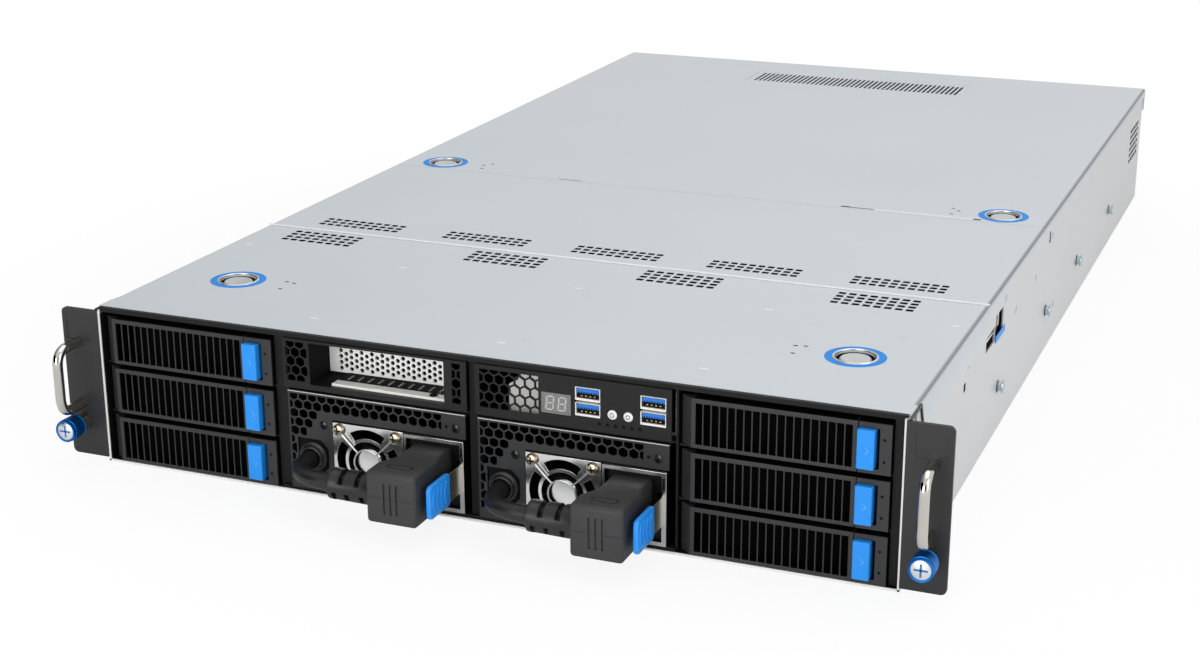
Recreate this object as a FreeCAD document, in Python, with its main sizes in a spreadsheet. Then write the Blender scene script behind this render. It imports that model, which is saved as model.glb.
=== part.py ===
import FreeCAD, Part
import math
import os
import Sketcher
from FreeCAD import Placement, Rotation, Vector

doc = FreeCAD.newDocument("gpu_server")
sheet = doc.addObject("Spreadsheet::Sheet", "Dims")
aliases = []
nodes = []


class Size:
    """A sheet size, or a sum or product of sheet sizes: expression text with its value."""

    def __init__(self, text, value):
        self.text = text
        self.value = value

    def __add__(self, other):
        return combine(self, "+", other)

    def __radd__(self, other):
        return combine(other, "+", self)

    def __sub__(self, other):
        return combine(self, "-", other)

    def __rsub__(self, other):
        return combine(other, "-", self)

    def __mul__(self, other):
        return combine(self, "*", other)

    def __rmul__(self, other):
        return combine(other, "*", self)

    def __truediv__(self, other):
        return combine(self, "/", other)

    def __neg__(self):
        return combine(0, "-", self)


def as_size(quantity):
    if isinstance(quantity, Size):
        return quantity
    return Size("(%r)" % float(quantity), float(quantity))


def combine(left, sign, right):
    a, b = as_size(left), as_size(right)
    if sign == "+":
        value = a.value + b.value
    elif sign == "-":
        value = a.value - b.value
    elif sign == "*":
        value = a.value * b.value
    else:
        value = a.value / b.value
    return Size("(%s %s %s)" % (a.text, sign, b.text), value)


def size(alias, value):
    """One driving size in the sheet."""
    aliases.append(alias)
    row = len(aliases)
    sheet.set("A%d" % row, alias)
    sheet.set("B%d" % row, str(value))
    sheet.setAlias("B%d" % row, alias)
    return Size("Dims." + alias, float(value))


def span(low, length):
    return (low, low + length)


def about(middle, width):
    return (middle - width / 2, middle + width / 2)


def grown(pair, gap):
    return (pair[0] - gap, pair[1] + gap)


# Rack body: sheet steel, front plane at y 0, floor at z 0
body_width = size("body_width", 438)
body_height = size("body_height", 87.5)
body_depth = size("body_depth", 783)
half = body_width / 2
steel = size("steel", 1.2)
slip = size("slip", 0.1)
flange_steel = size("flange_steel", 0.8)

# Covers
cover_front = size("cover_front", 3.4)
front_split = size("front_split", 176)
rear_split = size("rear_split", 342)
seam = size("seam", 0.5)
rear_overhang = size("rear_overhang", 3.8)
rear_lip_height = size("rear_lip_height", 17)
front_flange_height = size("front_flange_height", 18.5)
flange_height = size("flange_height", 6.5)
flange_setback = size("flange_setback", 12)
hem_rise = size("hem_rise", 0.7)

# Cover vents
vent_length = size("vent_length", 45)
vent_slot_width = size("vent_slot_width", 2.6)
vent_row_pitch = size("vent_row_pitch", 5.6)
vent_rows = size("vent_rows", 4)
vent_from_split = size("vent_from_split", 24.6)
vent_a_left = size("vent_a_from_wall", 22.4) - half
vent_b_left = size("vent_b_left", -77.4)
vent_c_left = size("vent_c_left", 28.6)
vent_d_left = half - size("vent_d_from_wall", 79.7)
mid_vent_pitch = (body_width - size("mid_vent_margins", 105.6)) / 4
mid_vent_rows = size("mid_vent_rows", 3)
mid_vent_width = size("mid_vent_width", 53.4)
mid_vent_setback = size("mid_vent_setback", 13)
rear_slot_count = size("rear_slot_count", 20)
rear_slot_pitch = size("rear_slot_pitch", 8.4)
rear_slot_width = size("rear_slot_width", 6.4)
rear_slot_length = size("rear_slot_length", 32)
rear_vent_middle = body_depth - size("rear_vent_from_back", 57)
emboss_width = size("emboss_width", 178)
emboss_length = size("emboss_length", 48)
emboss_depth = size("emboss_depth", 0.5)

# Push latches in the covers
latch_radius = size("latch_radius", 9.5)
latch_clearance = size("latch_clearance", 0.4)
latch_thick = size("latch_thick", 2.5)
latch_sink = size("latch_sink", 0.2)
front_latch_x = half - size("front_latch_from_wall", 43.3)
front_latch_y = size("front_latch_y", 70.5)
rear_latch_x = half - size("rear_latch_from_wall", 28)
rear_latch_y = size("rear_latch_y", 359.5)

# Front frame
frame_steel = size("frame_steel", 1.2)
frame_depth = size("frame_depth", 205)
frame_front = size("frame_front", 3)
lip_front = size("lip_front", 0.9)
lip_height = size("lip_height", 2.5)
lip_flange = size("lip_flange", 12)
left_divider = size("left_divider", -110.8)
right_divider = size("right_divider", 107.6)
psu_shelf_low = size("psu_shelf_low", 56.7)
psu_floor_high = size("psu_floor_high", 2.7)

# Drive bays
bezel_width = half - size("middle_room", 116)
bay_side = size("bay_side", 2.6)
bay_right_side = size("bay_right_side", 6.6)
bay_left = bay_side - half
bay_pitch_x = body_width - bezel_width - bay_side - bay_right_side
right_guide = half - bay_right_side + size("guide_gap", 1.2)
bay_low = size("bay_low", 1.4)
bay_pitch_z = size("bay_pitch_z", 27.8)
bezel_height = size("bezel_height", 25)
shelf_gap = size("shelf_gap", 0.3)
facet_width = size("facet_width", 6.2)
facet_depth = size("facet_depth", 5)
lever_length = bezel_width - size("bezel_end", 16.2)
lever_depth = size("lever_depth", 7)
lever_skin = size("lever_skin", 1.4)
lever_rim = size("lever_rim", 1.3)
grille_start = size("grille_start", 8.2)
grille_count = size("grille_count", 19)
grille_pitch = (lever_length - size("grille_margins", 9.85)) / grille_count
grille_slot = grille_pitch - size("grille_bar", 0.7)
grille_low = size("grille_low", 1.9)
grille_height = size("grille_height", 20.8)
pivot_in = size("pivot_in", 4)
pivot_back = size("pivot_back", 8)
pivot_radius = size("pivot_radius", 1.2)
pivot_play = size("pivot_play", 0.35)
pivot_block = size("pivot_block", 8.6)
pivot_wall = size("pivot_wall", 2.5)
lug_thick = size("lug_thick", 1.4)
lug_edge = size("lug_edge", 0.2)
lug_front = size("lug_front", 5.9)
lug_bevel = size("lug_bevel", 1.2)
tray_front = size("tray_front", 13.6)
tray_plate = size("tray_plate", 1.4)
tray_rail = size("tray_rail", 1.2)
tray_side = size("tray_side", 0.6)
tray_length = size("tray_length", 152)
tray_rail_height = size("tray_rail_height", 19)
drive_length = size("drive_length", 147)
drive_height = size("drive_height", 23.6)
end_gap = size("end_gap", 0.4)
button_left = lever_length + end_gap
button_width = size("button_width", 8.3)
button_low = size("button_low", 2.7)
button_height = size("button_height", 19.4)
button_proud = size("button_proud", 3)
button_depth = size("button_depth", 8.5)
button_round = size("button_round", 0.6)
button_gap = size("button_gap", 0.3)
button_travel = size("button_travel", 1.5)
button_pocket = size("button_pocket", 6)

# Rack ears, handles and thumb screws
rack_hole_span = body_width + 2 * size("rack_hole_out", 13.55)
ear_span = rack_hole_span + 2 * size("ear_edge", 8.75)
ear_low = size("ear_low", 2.4)
ear_height = size("ear_height", 83.2)
ear_thick = size("ear_thick", 2)
ear_proud = size("ear_proud", 1)
ear_corner = size("ear_corner", 3)
ear_flange = size("ear_flange", 32)
ear_flange_height = size("ear_flange_height", 63.6)
ear_flange_thick = size("ear_flange_thick", 1.5)
ear_recess_width = size("ear_recess_width", 15.3)
ear_recess_height = size("ear_recess_height", 12.9)
ear_recess_low = size("ear_recess_low", 68.3)
ear_recess_depth = size("ear_recess_depth", 0.25)
handle_low = size("handle_low", 32)
handle_pitch = size("handle_pitch", 34.5)
handle_reach = size("handle_reach", 18.5)
handle_bend = size("handle_bend", 11)
handle_radius = size("handle_radius", 2.75)
thumb_height = size("thumb_height", 21.4)
thumb_radius = size("thumb_radius", 6.3)
thumb_reach = size("thumb_reach", 18.7)
thumb_knob = size("thumb_knob", 11)
sleeve_radius = size("sleeve_radius", 4.3)
sleeve_gap = size("sleeve_gap", 0.1)
shaft_radius = size("shaft_radius", 2.95)
neck_radius = size("neck_radius", 2.5)
neck_length = size("neck_length", 0.3)
shaft_tail = size("shaft_tail", 9)
shaft_clearance = size("shaft_clearance", 0.45)

# Fasteners
stud_height = size("stud_height", 27.2)
stud_radius = size("stud_radius", 4)
stud_length = size("stud_length", 3.8)
stud_first = size("stud_first", 220)
stud_second = size("stud_second", 368)
stud_third = size("stud_third", 486)
stud_fourth = body_depth - size("stud_from_back", 155)

# Middle panels
panel_steel = size("panel_steel", 1.2)
panel_low = size("panel_low", 58)
panel_high = size("panel_high", 84.6)
slot_panel_left = size("slot_panel_left", -106.3)
slot_panel_right = size("slot_panel_right", -2.3)
slot_left = size("slot_left", -91)
slot_right = size("slot_right", -14.7)
slot_low = size("slot_low", 60.9)
slot_high = size("slot_high", 83.3)
bracket_back = size("bracket_back", 20.8)
bracket_top = size("bracket_top", 82.4)
ledge_front = size("ledge_front", 3.2)
ledge_thick = size("ledge_thick", 0.9)
ledge_inset = size("ledge_inset", 11)
control_left = size("control_left", 2.4)
control_right = size("control_right", 105.7)
display_left = size("display_left", 38.2)
display_width = size("display_width", 15.5)
display_low = size("display_low", 64.4)
display_height = size("display_height", 10.5)
display_depth = size("display_depth", 8.4)
display_sink = size("display_sink", 0.3)
usb_left = size("usb_left", 56.1)
usb_pitch_x = size("usb_pitch_x", 33.8)
usb_width = size("usb_width", 13)
usb_low = size("usb_low", 65.2)
usb_height = size("usb_height", 14.8)
usb_depth = size("usb_depth", 14)
usb_shell = size("usb_shell", 0.5)
usb_bridge = size("usb_bridge", 2.2)
usb_pocket = size("usb_pocket", 9)
usb_tongue = size("usb_tongue", 1.9)
usb_tongue_inset = size("usb_tongue_inset", 0.9)
usb_tongue_sink = size("usb_tongue_sink", 1.2)
window_gap = size("window_gap", 0.15)
carrier_back = size("carrier_back", 9)
carrier_left = size("carrier_left", 22)
push_radius = size("push_radius", 2.4)
push_clearance = size("push_clearance", 0.35)
push_proud = size("push_proud", 0.6)
push_depth = size("push_depth", 5)
id_x = size("id_x", 75.4)
power_x = size("power_x", 83.6)
push_z = size("push_z", 67.9)

# Honeycomb
hex_pitch = size("hex_pitch", 5.5)
hex_row = size("hex_row", 4.85)
hex_flats = size("hex_flats", 4.7)
control_hex_x = size("control_hex_x", 10)
control_hex_z = size("control_hex_z", 77.8)
control_hex_left = size("control_hex_left", 4.8)
control_hex_right = size("control_hex_right", 36.6)
control_hex_low = size("control_hex_low", 62.4)
control_hex_high = size("control_hex_high", 82.4)
slot_hex_x = size("slot_hex_x", -101.9)
slot_hex_z = size("slot_hex_z", 72.6)
slot_hex_low = size("slot_hex_low", 62)
slot_hex_margin = size("slot_hex_margin", 1.5)
slot_hex_narrow = size("slot_hex_narrow", 4.6)
slot_hex_right_x = size("slot_hex_right_x", -7.9)

# Power supplies; the right one is the left one moved across
psu_pitch = size("psu_pitch", 108.1)
psu_panel_left = size("psu_panel_left", -104.7)
psu_panel_right = size("psu_panel_right", -3.3)
psu_panel_low = size("psu_panel_low", 3)
psu_panel_high = size("psu_panel_high", 56.4)
psu_panel_flange = size("psu_panel_flange", 6)
psu_left = size("psu_left", -78.8)
psu_width = size("psu_width", 74.2)
psu_low = size("psu_low", 3)
psu_height = size("psu_height", 39.5)
psu_front = size("psu_front", 0.3)
psu_length = size("psu_length", 195)
psu_gap = size("psu_gap", 0.7)
psu_hex_x = size("psu_hex_x", 6)
psu_hex_z = size("psu_hex_z", 49.2)
psu_hex_margin = size("psu_hex_margin", 0.9)
psu_hex_top = size("psu_hex_top", 55)
psu_hex_long = size("psu_hex_long", 88)
fan_x = size("fan_x", -58.9)
fan_z = size("fan_z", 22.7)
fan_bore = size("fan_bore", 18.2)
fan_bore_depth = size("fan_bore_depth", 18)
fan_hub_radius = size("fan_hub_radius", 8.2)
fan_hub_front = size("fan_hub_front", 2)
fan_hub_gap = size("fan_hub_gap", 0.5)
fan_tip_radius = size("fan_tip_radius", 16.8)
fan_blades = size("fan_blades", 5)
blade_chord = size("blade_chord", 11)
blade_lean = size("blade_lean", 8)
blade_thick = size("blade_thick", 1.6)
guard_hole_pitch = size("guard_hole_pitch", 32.2)
guard_wire = size("guard_wire", 0.75)
guard_front = size("guard_front", 1.6)
guard_outer = size("guard_outer", 17.5)
guard_middle = size("guard_middle", 12.4)
guard_inner = size("guard_inner", 7.4)
guard_screw = size("guard_screw", 2.7)
inlet_left = size("inlet_left", -36.6)
inlet_right = size("inlet_right", -7)
inlet_low = size("inlet_low", 5.5)
inlet_high = size("inlet_high", 40)
inlet_sink = size("inlet_sink", 2.4)

# Power plug, strain relief, cord and gland
plug_right = size("plug_right", -11.2)
plug_width = size("plug_width", 27.2)
plug_reach = size("plug_reach", 41)
plug_low = size("plug_low", 10.2)
plug_height = size("plug_height", 27.2)
plug_shoulder = size("plug_shoulder", 13)
plug_taper = size("plug_taper", 10)
plug_step = size("plug_step", 5.5)
plug_right_step = size("plug_right_step", 1.5)
plug_round = size("plug_round", 2.2)
nose_depth = size("nose_depth", 12)
nose_inset = size("nose_inset", 1)
nose_gap = size("nose_gap", 0.4)
groove_width = size("groove_width", 1.2)
groove_depth = size("groove_depth", 0.8)
groove_pitch = size("groove_pitch", 3.4)
groove_height = size("groove_height", 16)
groove_low = size("groove_low", 5.5)
grip_length = size("grip_length", 13)
grip_width = size("grip_width", 3)
grip_depth = size("grip_depth", 0.9)
cord_reach = size("cord_reach", 27)
cord_z = size("cord_z", 21.6)
cord_radius = size("cord_radius", 4.5)
cord_bend = size("cord_bend", 20)
cord_lead = size("cord_lead", 1.5)
gland_x = size("gland_x", -91)
cord_tail = size("cord_tail", 198)
relief_root = size("relief_root", 8.3)
relief_tip = size("relief_tip", 7)
relief_groove = size("relief_groove", 2.4)
relief_core = size("relief_core", 5.6)
gland_width = size("gland_width", 17.4)
gland_height = size("gland_height", 18.6)
gland_chamfer = size("gland_chamfer", 4)
gland_base = size("gland_base", 2.6)
gland_flange = size("gland_flange", 8.2)
gland_collar = size("gland_collar", 6.7)
gland_step = size("gland_step", 1.8)
gland_bore_gap = size("gland_bore_gap", 0.6)

# Release latch of a power supply
tab_x = size("tab_x", -6.6)
tab_thick = size("tab_thick", 3)
tab_front = size("tab_front", 36)
tab_length = size("tab_length", 22)
tab_low = size("tab_low", 13.6)
tab_height = size("tab_height", 17.4)
tongue_thick = size("tongue_thick", 1)
tongue_low = size("tongue_low", 12.4)
tongue_height = size("tongue_height", 17)
latch_pivot_y = size("latch_pivot_y", 8)
latch_pin = size("latch_pin", 0.8)
latch_play = size("latch_play", 0.35)
latch_barrel = size("latch_barrel", 1.5)
latch_well = size("latch_well", 1.9)
latch_well_depth = size("latch_well_depth", 12)
latch_well_gap = size("latch_well_gap", 0.5)

# System fans
cage_front = size("cage_front", 228)
cage_depth = size("cage_depth", 38)
cage_width = size("cage_width", 344)
cage_top = size("cage_top", 84.6)
system_fan_pitch = size("system_fan_pitch", 84)
system_fan_bore = size("system_fan_bore", 40.4)
system_fan_z = size("system_fan_z", 43)
system_bar = size("system_bar", 10)
system_bar_depth = size("system_bar_depth", 5)
system_hub = size("system_hub", 19)
system_tip = size("system_tip", 36.8)
system_hub_front = size("system_hub_front", 4)
system_chord = size("system_chord", 24)
system_lean = size("system_lean", 18)
system_blade = size("system_blade", 2)

# Boards and cards inside
board_front = size("board_front", 300)
board_length = body_depth - board_front - size("board_from_back", 13)
board_low = size("board_low", 7)
board_thick = size("board_thick", 2)
post_width = size("post_width", 6)
post_inset = size("post_inset", 12)
sink_width = size("sink_width", 72)
sink_length = size("sink_length", 92)
sink_height = size("sink_height", 62)
sink_front = size("sink_front", 330)
sink_pitch = size("sink_pitch", 82)
fin_count = size("fin_count", 6)
fin_gap = size("fin_gap", 6)
fin_base = size("fin_base", 12)
backplane_y = size("backplane_y", 170)
backplane_thick = size("backplane_thick", 2)
backplane_height = size("backplane_height", 80)
card_width = size("card_width", 111)
card_length = size("card_length", 267)
card_thick = size("card_thick", 38)
card_front = body_depth - card_length - size("card_from_back", 11)
card_pitch = size("card_pitch", 38.3)
card_edge = size("card_edge", 2)
board_half = half - steel - card_edge - card_width - size("board_gap", 6.8)
card_duct = size("card_duct", 3)
port_width = size("port_width", 64)
port_height = size("port_height", 30)
port_depth = size("port_depth", 16)

# Rear and side openings of the tray
card_slot_width = size("card_slot_width", 14)
card_slot_pitch = size("card_slot_pitch", 24)
card_slot_count = size("card_slot_count", 4)
card_slot_height = size("card_slot_height", 32)
card_slot_low = size("card_slot_low", 6)
rear_inlet_width = size("rear_inlet_width", 27)
rear_inlet_height = size("rear_inlet_height", 20)
rear_inlet_x = size("rear_inlet_x", 78)
rear_inlet_low = size("rear_inlet_low", 12)
rear_vent_low = size("rear_vent_low", 52)
rear_vent_slots = size("rear_vent_slots", 6)
rear_vent_height = size("rear_vent_height", 22)
side_slot_length = size("side_slot_length", 43)
side_slot_height = size("side_slot_height", 2.6)
side_slot_row = size("side_slot_row", 4.7)
side_slot_rows = size("side_slot_rows", 6)
side_slot_start = body_depth - size("side_slot_from_back", 59)
side_slot_low = size("side_slot_low", 40)
window_front = size("window_front", 203)
window_length = size("window_length", 22)
window_low = size("window_low", 58)
window_height = size("window_height", 15)
window_tail = size("window_tail", 24)
window_tail_height = size("window_tail_height", 9)
window_tail_low = size("window_tail_low", 59)

doc.recompute()

inner = half - steel
wall_top = body_height - steel - slip
cover_low = body_height - steel
cover_half = half + slip + flange_steel
top_bay = bay_low + 2 * bay_pitch_z


def bind(item, prop, quantity):
    item.setExpression(prop, as_size(quantity).text)


def seat(item, label):
    """Names a sub-part and moves it from the front plane to the frame at the middle of the floor."""
    item.Label = label
    bind(item, "Placement.Base.y", -body_depth / 2)
    nodes.append(item)
    return item


def copy(source, label, dx=0, dy=0, dz=0):
    """The same piece again, moved across."""
    twin = doc.addObject("Part::Compound", label)
    twin.Links = [source]
    for axis, move in (("x", dx), ("y", dy), ("z", dz)):
        bind(twin, "Placement.Base." + axis, move)
    nodes.append(twin)
    return twin


def box(name, x, y, z):
    item = doc.addObject("Part::Box", name)
    for prop, axis, (low, high) in (("Length", "x", x), ("Width", "y", y), ("Height", "z", z)):
        bind(item, prop, high - low)
        bind(item, "Placement.Base." + axis, low)
    return item


def cylinder(name, axis, radius, foot, length):
    item = doc.addObject("Part::Cylinder", name)
    turn = {"x": Rotation(Vector(0, 1, 0), 90), "y": Rotation(Vector(1, 0, 0), -90), "z": Rotation()}
    item.Placement = Placement(Vector(), turn[axis])
    bind(item, "Radius", radius)
    bind(item, "Height", length)
    for letter, place in zip("xyz", foot):
        bind(item, "Placement.Base." + letter, place)
    return item


def fuse(name, items):
    item = doc.addObject("Part::MultiFuse", name)
    item.Shapes = items
    item.Refine = True
    return item


def cut(name, base, tools):
    item = doc.addObject("Part::Cut", name)
    item.Base = base
    item.Tool = tools[0] if len(tools) == 1 else group(name + "_tools", tools)
    return item


def group(name, items):
    item = doc.addObject("Part::Compound", name)
    item.Links = items
    return item


NORMAL = {"XY_Plane": 1, "XZ_Plane": -1, "YZ_Plane": 1}
TUBE_SIDES = 8
SMALL_SIDES = 12
WIDE_SIDES = 24
RELIEF_RINGS = 3


def new_body(name):
    return doc.addObject("PartDesign::Body", name)


def fix(sketch, kind, line, target):
    target = as_size(target)
    if target.value == 0:
        sketch.addConstraint(Sketcher.Constraint("PointOnObject", line, 1, -2 if kind == "DistanceX" else -1))
        return
    index = sketch.addConstraint(Sketcher.Constraint(kind, -1, 1, line, 1, target.value))
    sketch.setExpression("Constraints[%d]" % index, target.text)


def polygon(sketch, corners):
    """A closed outline whose corners are placed by sheet sizes."""
    first = sketch.GeometryCount
    points = [Vector(as_size(u).value, as_size(v).value, 0) for u, v in corners]
    for a, b in zip(points, points[1:] + points[:1]):
        sketch.addGeometry(Part.LineSegment(a, b), False)
    for k, (u, v) in enumerate(corners):
        before = first + (k - 1) % len(corners)
        sketch.addConstraint(Sketcher.Constraint("Coincident", before, 2, first + k, 1))
        fix(sketch, "DistanceX", first + k, u)
        fix(sketch, "DistanceY", first + k, v)


def rectangle(u, v):
    return [(u[0], v[0]), (u[1], v[0]), (u[1], v[1]), (u[0], v[1])]


def ring_outline(middle, radius, sides, turn=0):
    """Corners of a regular outline round a middle, for small round pieces and hidden ones."""
    corners = []
    for k in range(sides):
        angle = math.radians(turn + 360 * k / sides)
        corners.append((middle[0] + radius * math.cos(angle), middle[1] + radius * math.sin(angle)))
    return corners


def disc(sketch, middle, radius):
    u, v = as_size(middle[0]), as_size(middle[1])
    ring = sketch.addGeometry(Part.Circle(Vector(u.value, v.value, 0), Vector(0, 0, 1), radius.value), False)
    for kind, target in (("DistanceX", u), ("DistanceY", v)):
        if target.value == 0:
            axis = -2 if kind == "DistanceX" else -1
            sketch.addConstraint(Sketcher.Constraint("PointOnObject", ring, 3, axis))
            continue
        index = sketch.addConstraint(Sketcher.Constraint(kind, -1, 1, ring, 3, target.value))
        sketch.setExpression("Constraints[%d]" % index, target.text)
    index = sketch.addConstraint(Sketcher.Constraint("Radius", ring, radius.value))
    sketch.setExpression("Constraints[%d]" % index, radius.text)


def draw(body, plane, level, outlines, at=(0, 0)):
    """A sketch on a plane of the body; an outline is a list of corners or a (middle, radius) disc."""
    sketch = body.newObject("Sketcher::SketchObject", body.Name + "_sketch")
    support = [f for f in body.Origin.OriginFeatures if f.Role == plane][0]
    sketch.AttachmentSupport = [(support, "")]
    sketch.MapMode = "FlatFace"
    bind(sketch, "AttachmentOffset.Base.x", at[0])
    bind(sketch, "AttachmentOffset.Base.y", at[1])
    bind(sketch, "AttachmentOffset.Base.z", NORMAL[plane] * as_size(level))
    for outline in outlines:
        if isinstance(outline, tuple):
            disc(sketch, *outline)
        else:
            polygon(sketch, outline)
    return sketch


def pad(body, plane, reach, outlines):
    low, high = reach
    sketch = draw(body, plane, low if NORMAL[plane] > 0 else high, outlines)
    feature = body.newObject("PartDesign::Pad", body.Name + "_pad")
    feature.Profile = sketch
    bind(feature, "Length", high - low)
    body.Tip = feature
    return feature


def pocket(body, plane, reach, outlines):
    low, high = reach
    sketch = draw(body, plane, high if NORMAL[plane] > 0 else low, outlines)
    feature = body.newObject("PartDesign::Pocket", body.Name + "_pocket")
    feature.Profile = sketch
    bind(feature, "Length", high - low)
    body.Tip = feature
    return feature


def repeat(body, feature, axis, pitch, count):
    """A row of the feature along one axis of its own sketch."""
    pattern = body.newObject("PartDesign::LinearPattern", body.Name + "_pattern")
    pattern.Originals = [feature]
    pattern.Direction = (feature.Profile[0], [axis])
    bind(pattern, "Length", pitch * (count - 1))
    bind(pattern, "Occurrences", count)
    body.Tip = pattern
    return pattern


def soften(body, kind, measure, chosen):
    """Rounds or bevels the edges whose middle the chooser accepts."""
    doc.recompute()
    shaped = body.Tip
    edges = []
    for number, edge in enumerate(shaped.Shape.Edges, 1):
        if chosen(edge.BoundBox.Center, edge):
            edges.append("Edge%d" % number)
    feature = body.newObject("PartDesign::" + kind, body.Name + "_edge")
    feature.Base = (shaped, edges)
    bind(feature, "Radius" if kind == "Fillet" else "Size", measure)
    body.Tip = feature
    return feature


def near(value, target):
    return abs(value - as_size(target).value) < 0.02


def clip(points, axis, limit, keep_above):
    """The part of a flat outline on one side of a straight line."""
    kept = []
    for a, b in zip(points, points[1:] + points[:1]):
        inside_a = (a[axis] >= limit) == keep_above
        inside_b = (b[axis] >= limit) == keep_above
        if inside_a:
            kept.append(a)
        if inside_a != inside_b:
            share = (limit - a[axis]) / (b[axis] - a[axis])
            kept.append((a[0] + share * (b[0] - a[0]), a[1] + share * (b[1] - a[1])))
    return kept


def honeycomb(name, x, z, windows, front, back):
    """Cutter for honeycomb cells on one lattice, cut off straight at the edges of each window."""
    prisms = []
    corner = hex_flats.value / math.sqrt(3)
    smallest = 0.22 * hex_flats.value ** 2
    for left, right, low, high in windows:
        low, high, left, right = [as_size(v).value for v in (low, high, left, right)]
        first_row = math.floor((low - as_size(z).value) / hex_row.value)
        last_row = math.ceil((high - as_size(z).value) / hex_row.value)
        for row in range(first_row, last_row + 1):
            shift = hex_pitch.value / 2 if row % 2 else 0
            start = as_size(x).value + shift
            first = math.floor((left - start) / hex_pitch.value)
            last = math.ceil((right - start) / hex_pitch.value)
            for column in range(first, last + 1):
                middle = (start + column * hex_pitch.value, as_size(z).value + row * hex_row.value)
                cell = []
                for k in range(6):
                    angle = math.radians(30 + 60 * k)
                    cell.append((middle[0] + corner * math.cos(angle), middle[1] + corner * math.sin(angle)))
                limits = ((0, left, True), (0, right, False), (1, low, True), (1, high, False))
                for axis, limit, above in limits:
                    cell = clip(cell, axis, limit, above) if len(cell) > 2 else []
                if len(cell) < 3:
                    continue
                loop = [Vector(u, as_size(front).value, v) for u, v in cell]
                face = Part.Face(Part.makePolygon(loop + loop[:1]))
                if face.Area < smallest:
                    continue
                prisms.append(face.extrude(Vector(0, as_size(back).value - as_size(front).value, 0)))
    item = doc.addObject("Part::Feature", name)
    item.Shape = Part.makeCompound(prisms)
    return item


def section(middle, across, along, radius):
    """A round section, in flats as long as its bend allows, square to the run."""
    up = along.cross(across)
    reach = radius / math.cos(math.pi / TUBE_SIDES)
    loop = []
    for k in range(TUBE_SIDES):
        angle = 2 * math.pi * (k + 0.5) / TUBE_SIDES
        loop.append(middle + across * (reach * math.cos(angle)) + up * (reach * math.sin(angle)))
    return Part.Face(Part.makePolygon(loop + loop[:1]))


def tube(name, corners, bend, radius):
    """A bar along straight runs and tangent bends; prints its bend radius and checks its volume."""
    points = [Vector(*[as_size(c).value for c in corner]) for corner in corners]
    bend, radius = as_size(bend).value, as_size(radius).value
    pieces, start, length = [], points[0], 0
    for before, at, after in zip(points, points[1:], points[2:]):
        into, out = (at - before).normalize(), (after - at).normalize()
        angle = into.getAngle(out)
        run = bend * math.tan(angle / 2)
        enter, leave = at - into * run, at + out * run
        axis = into.cross(out).normalize()
        middle = enter + axis.cross(into) * bend
        straight = start.distanceToPoint(enter)
        if straight > 0.01:
            pieces.append(section(start, axis, into, radius).extrude(into * straight))
        pieces.append(section(enter, axis, into, radius).revolve(middle, axis, math.degrees(angle)))
        length += straight + bend * angle
        start = leave
    straight = start.distanceToPoint(points[-1])
    pieces.append(section(start, axis, out, radius).extrude(out * straight))
    length += straight
    solid = pieces[0].fuse(pieces[1:]).removeSplitter()
    share = solid.Volume / (section(start, axis, out, radius).Area * length)
    print("%s bend radius %.1f length %.1f volume ratio %.4f" % (name, bend, length, share))
    item = doc.addObject("Part::Feature", name)
    item.Shape = solid
    return item


# Chassis tray
tray = new_body("tray")
channel = [
    (-half, 0), (half, 0), (half, wall_top), (inner, wall_top),
    (inner, steel), (-inner, steel), (-inner, wall_top), (-half, wall_top),
]
pad(tray, "XZ_Plane", (0, body_depth), [channel])
rear_wall = (body_depth - steel, body_depth)
pad(tray, "XZ_Plane", rear_wall, [rectangle((-half, half), (0, wall_top))])
rear_cut = (body_depth - 2 * steel, body_depth + steel)
card_left = -inner + card_edge
for row in range(2):
    low = card_slot_low + row * card_pitch
    for left in (card_left + card_slot_pitch / 2, inner - card_edge - card_width + card_slot_pitch / 2):
        slot = rectangle(span(left, card_slot_width), span(low, card_slot_height))
        repeat(tray, pocket(tray, "XZ_Plane", rear_cut, [slot]), "H_Axis", card_slot_pitch, card_slot_count)
inlets = []
for side in (-1, 1):
    inlet_x = about(side * rear_inlet_x, rear_inlet_width)
    inlets.append(rectangle(inlet_x, span(rear_inlet_low, rear_inlet_height)))
port_low = board_low + board_thick
ports = rectangle(about(0, port_width), span(port_low, port_height))
pocket(tray, "XZ_Plane", rear_cut, inlets + [ports])
vent_start = -card_slot_pitch * (rear_vent_slots - 1) / 2 - card_slot_width / 2
slot = rectangle(span(vent_start, card_slot_width), span(rear_vent_low, rear_vent_height))
repeat(tray, pocket(tray, "XZ_Plane", rear_cut, [slot]), "H_Axis", card_slot_pitch, rear_vent_slots)
through = (-half - steel, half + steel)
slot = rectangle(span(side_slot_start, side_slot_length), span(side_slot_low, side_slot_height))
repeat(tray, pocket(tray, "YZ_Plane", through, [slot]), "V_Axis", side_slot_row, side_slot_rows)
upper = rectangle(span(window_front, window_length), span(window_low, window_height))
lower_y = (window_front - window_tail, window_front - seam)
lower = rectangle(lower_y, span(window_tail_low, window_tail_height))
pocket(tray, "YZ_Plane", through, [upper, lower])
seat(tray, "chassis_tray")


# Covers
def cover(name, front, back, flange_front, flange_drop):
    body = new_body(name)
    pad(body, "XY_Plane", (cover_low, body_height), [rectangle((-cover_half, cover_half), (front, back))])
    for side in ((-cover_half, -cover_half + flange_steel), (cover_half - flange_steel, cover_half)):
        drop = rectangle((flange_front, back), (body_height - flange_drop, body_height))
        pad(body, "YZ_Plane", side, [drop])
    return body


def latch_holes(body, x, y):
    radius = latch_radius + latch_clearance
    holes = [ring_outline((side * x, y), radius, WIDE_SIDES) for side in (-1, 1)]
    pocket(body, "XY_Plane", (cover_low - steel, body_height + steel), holes)


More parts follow.
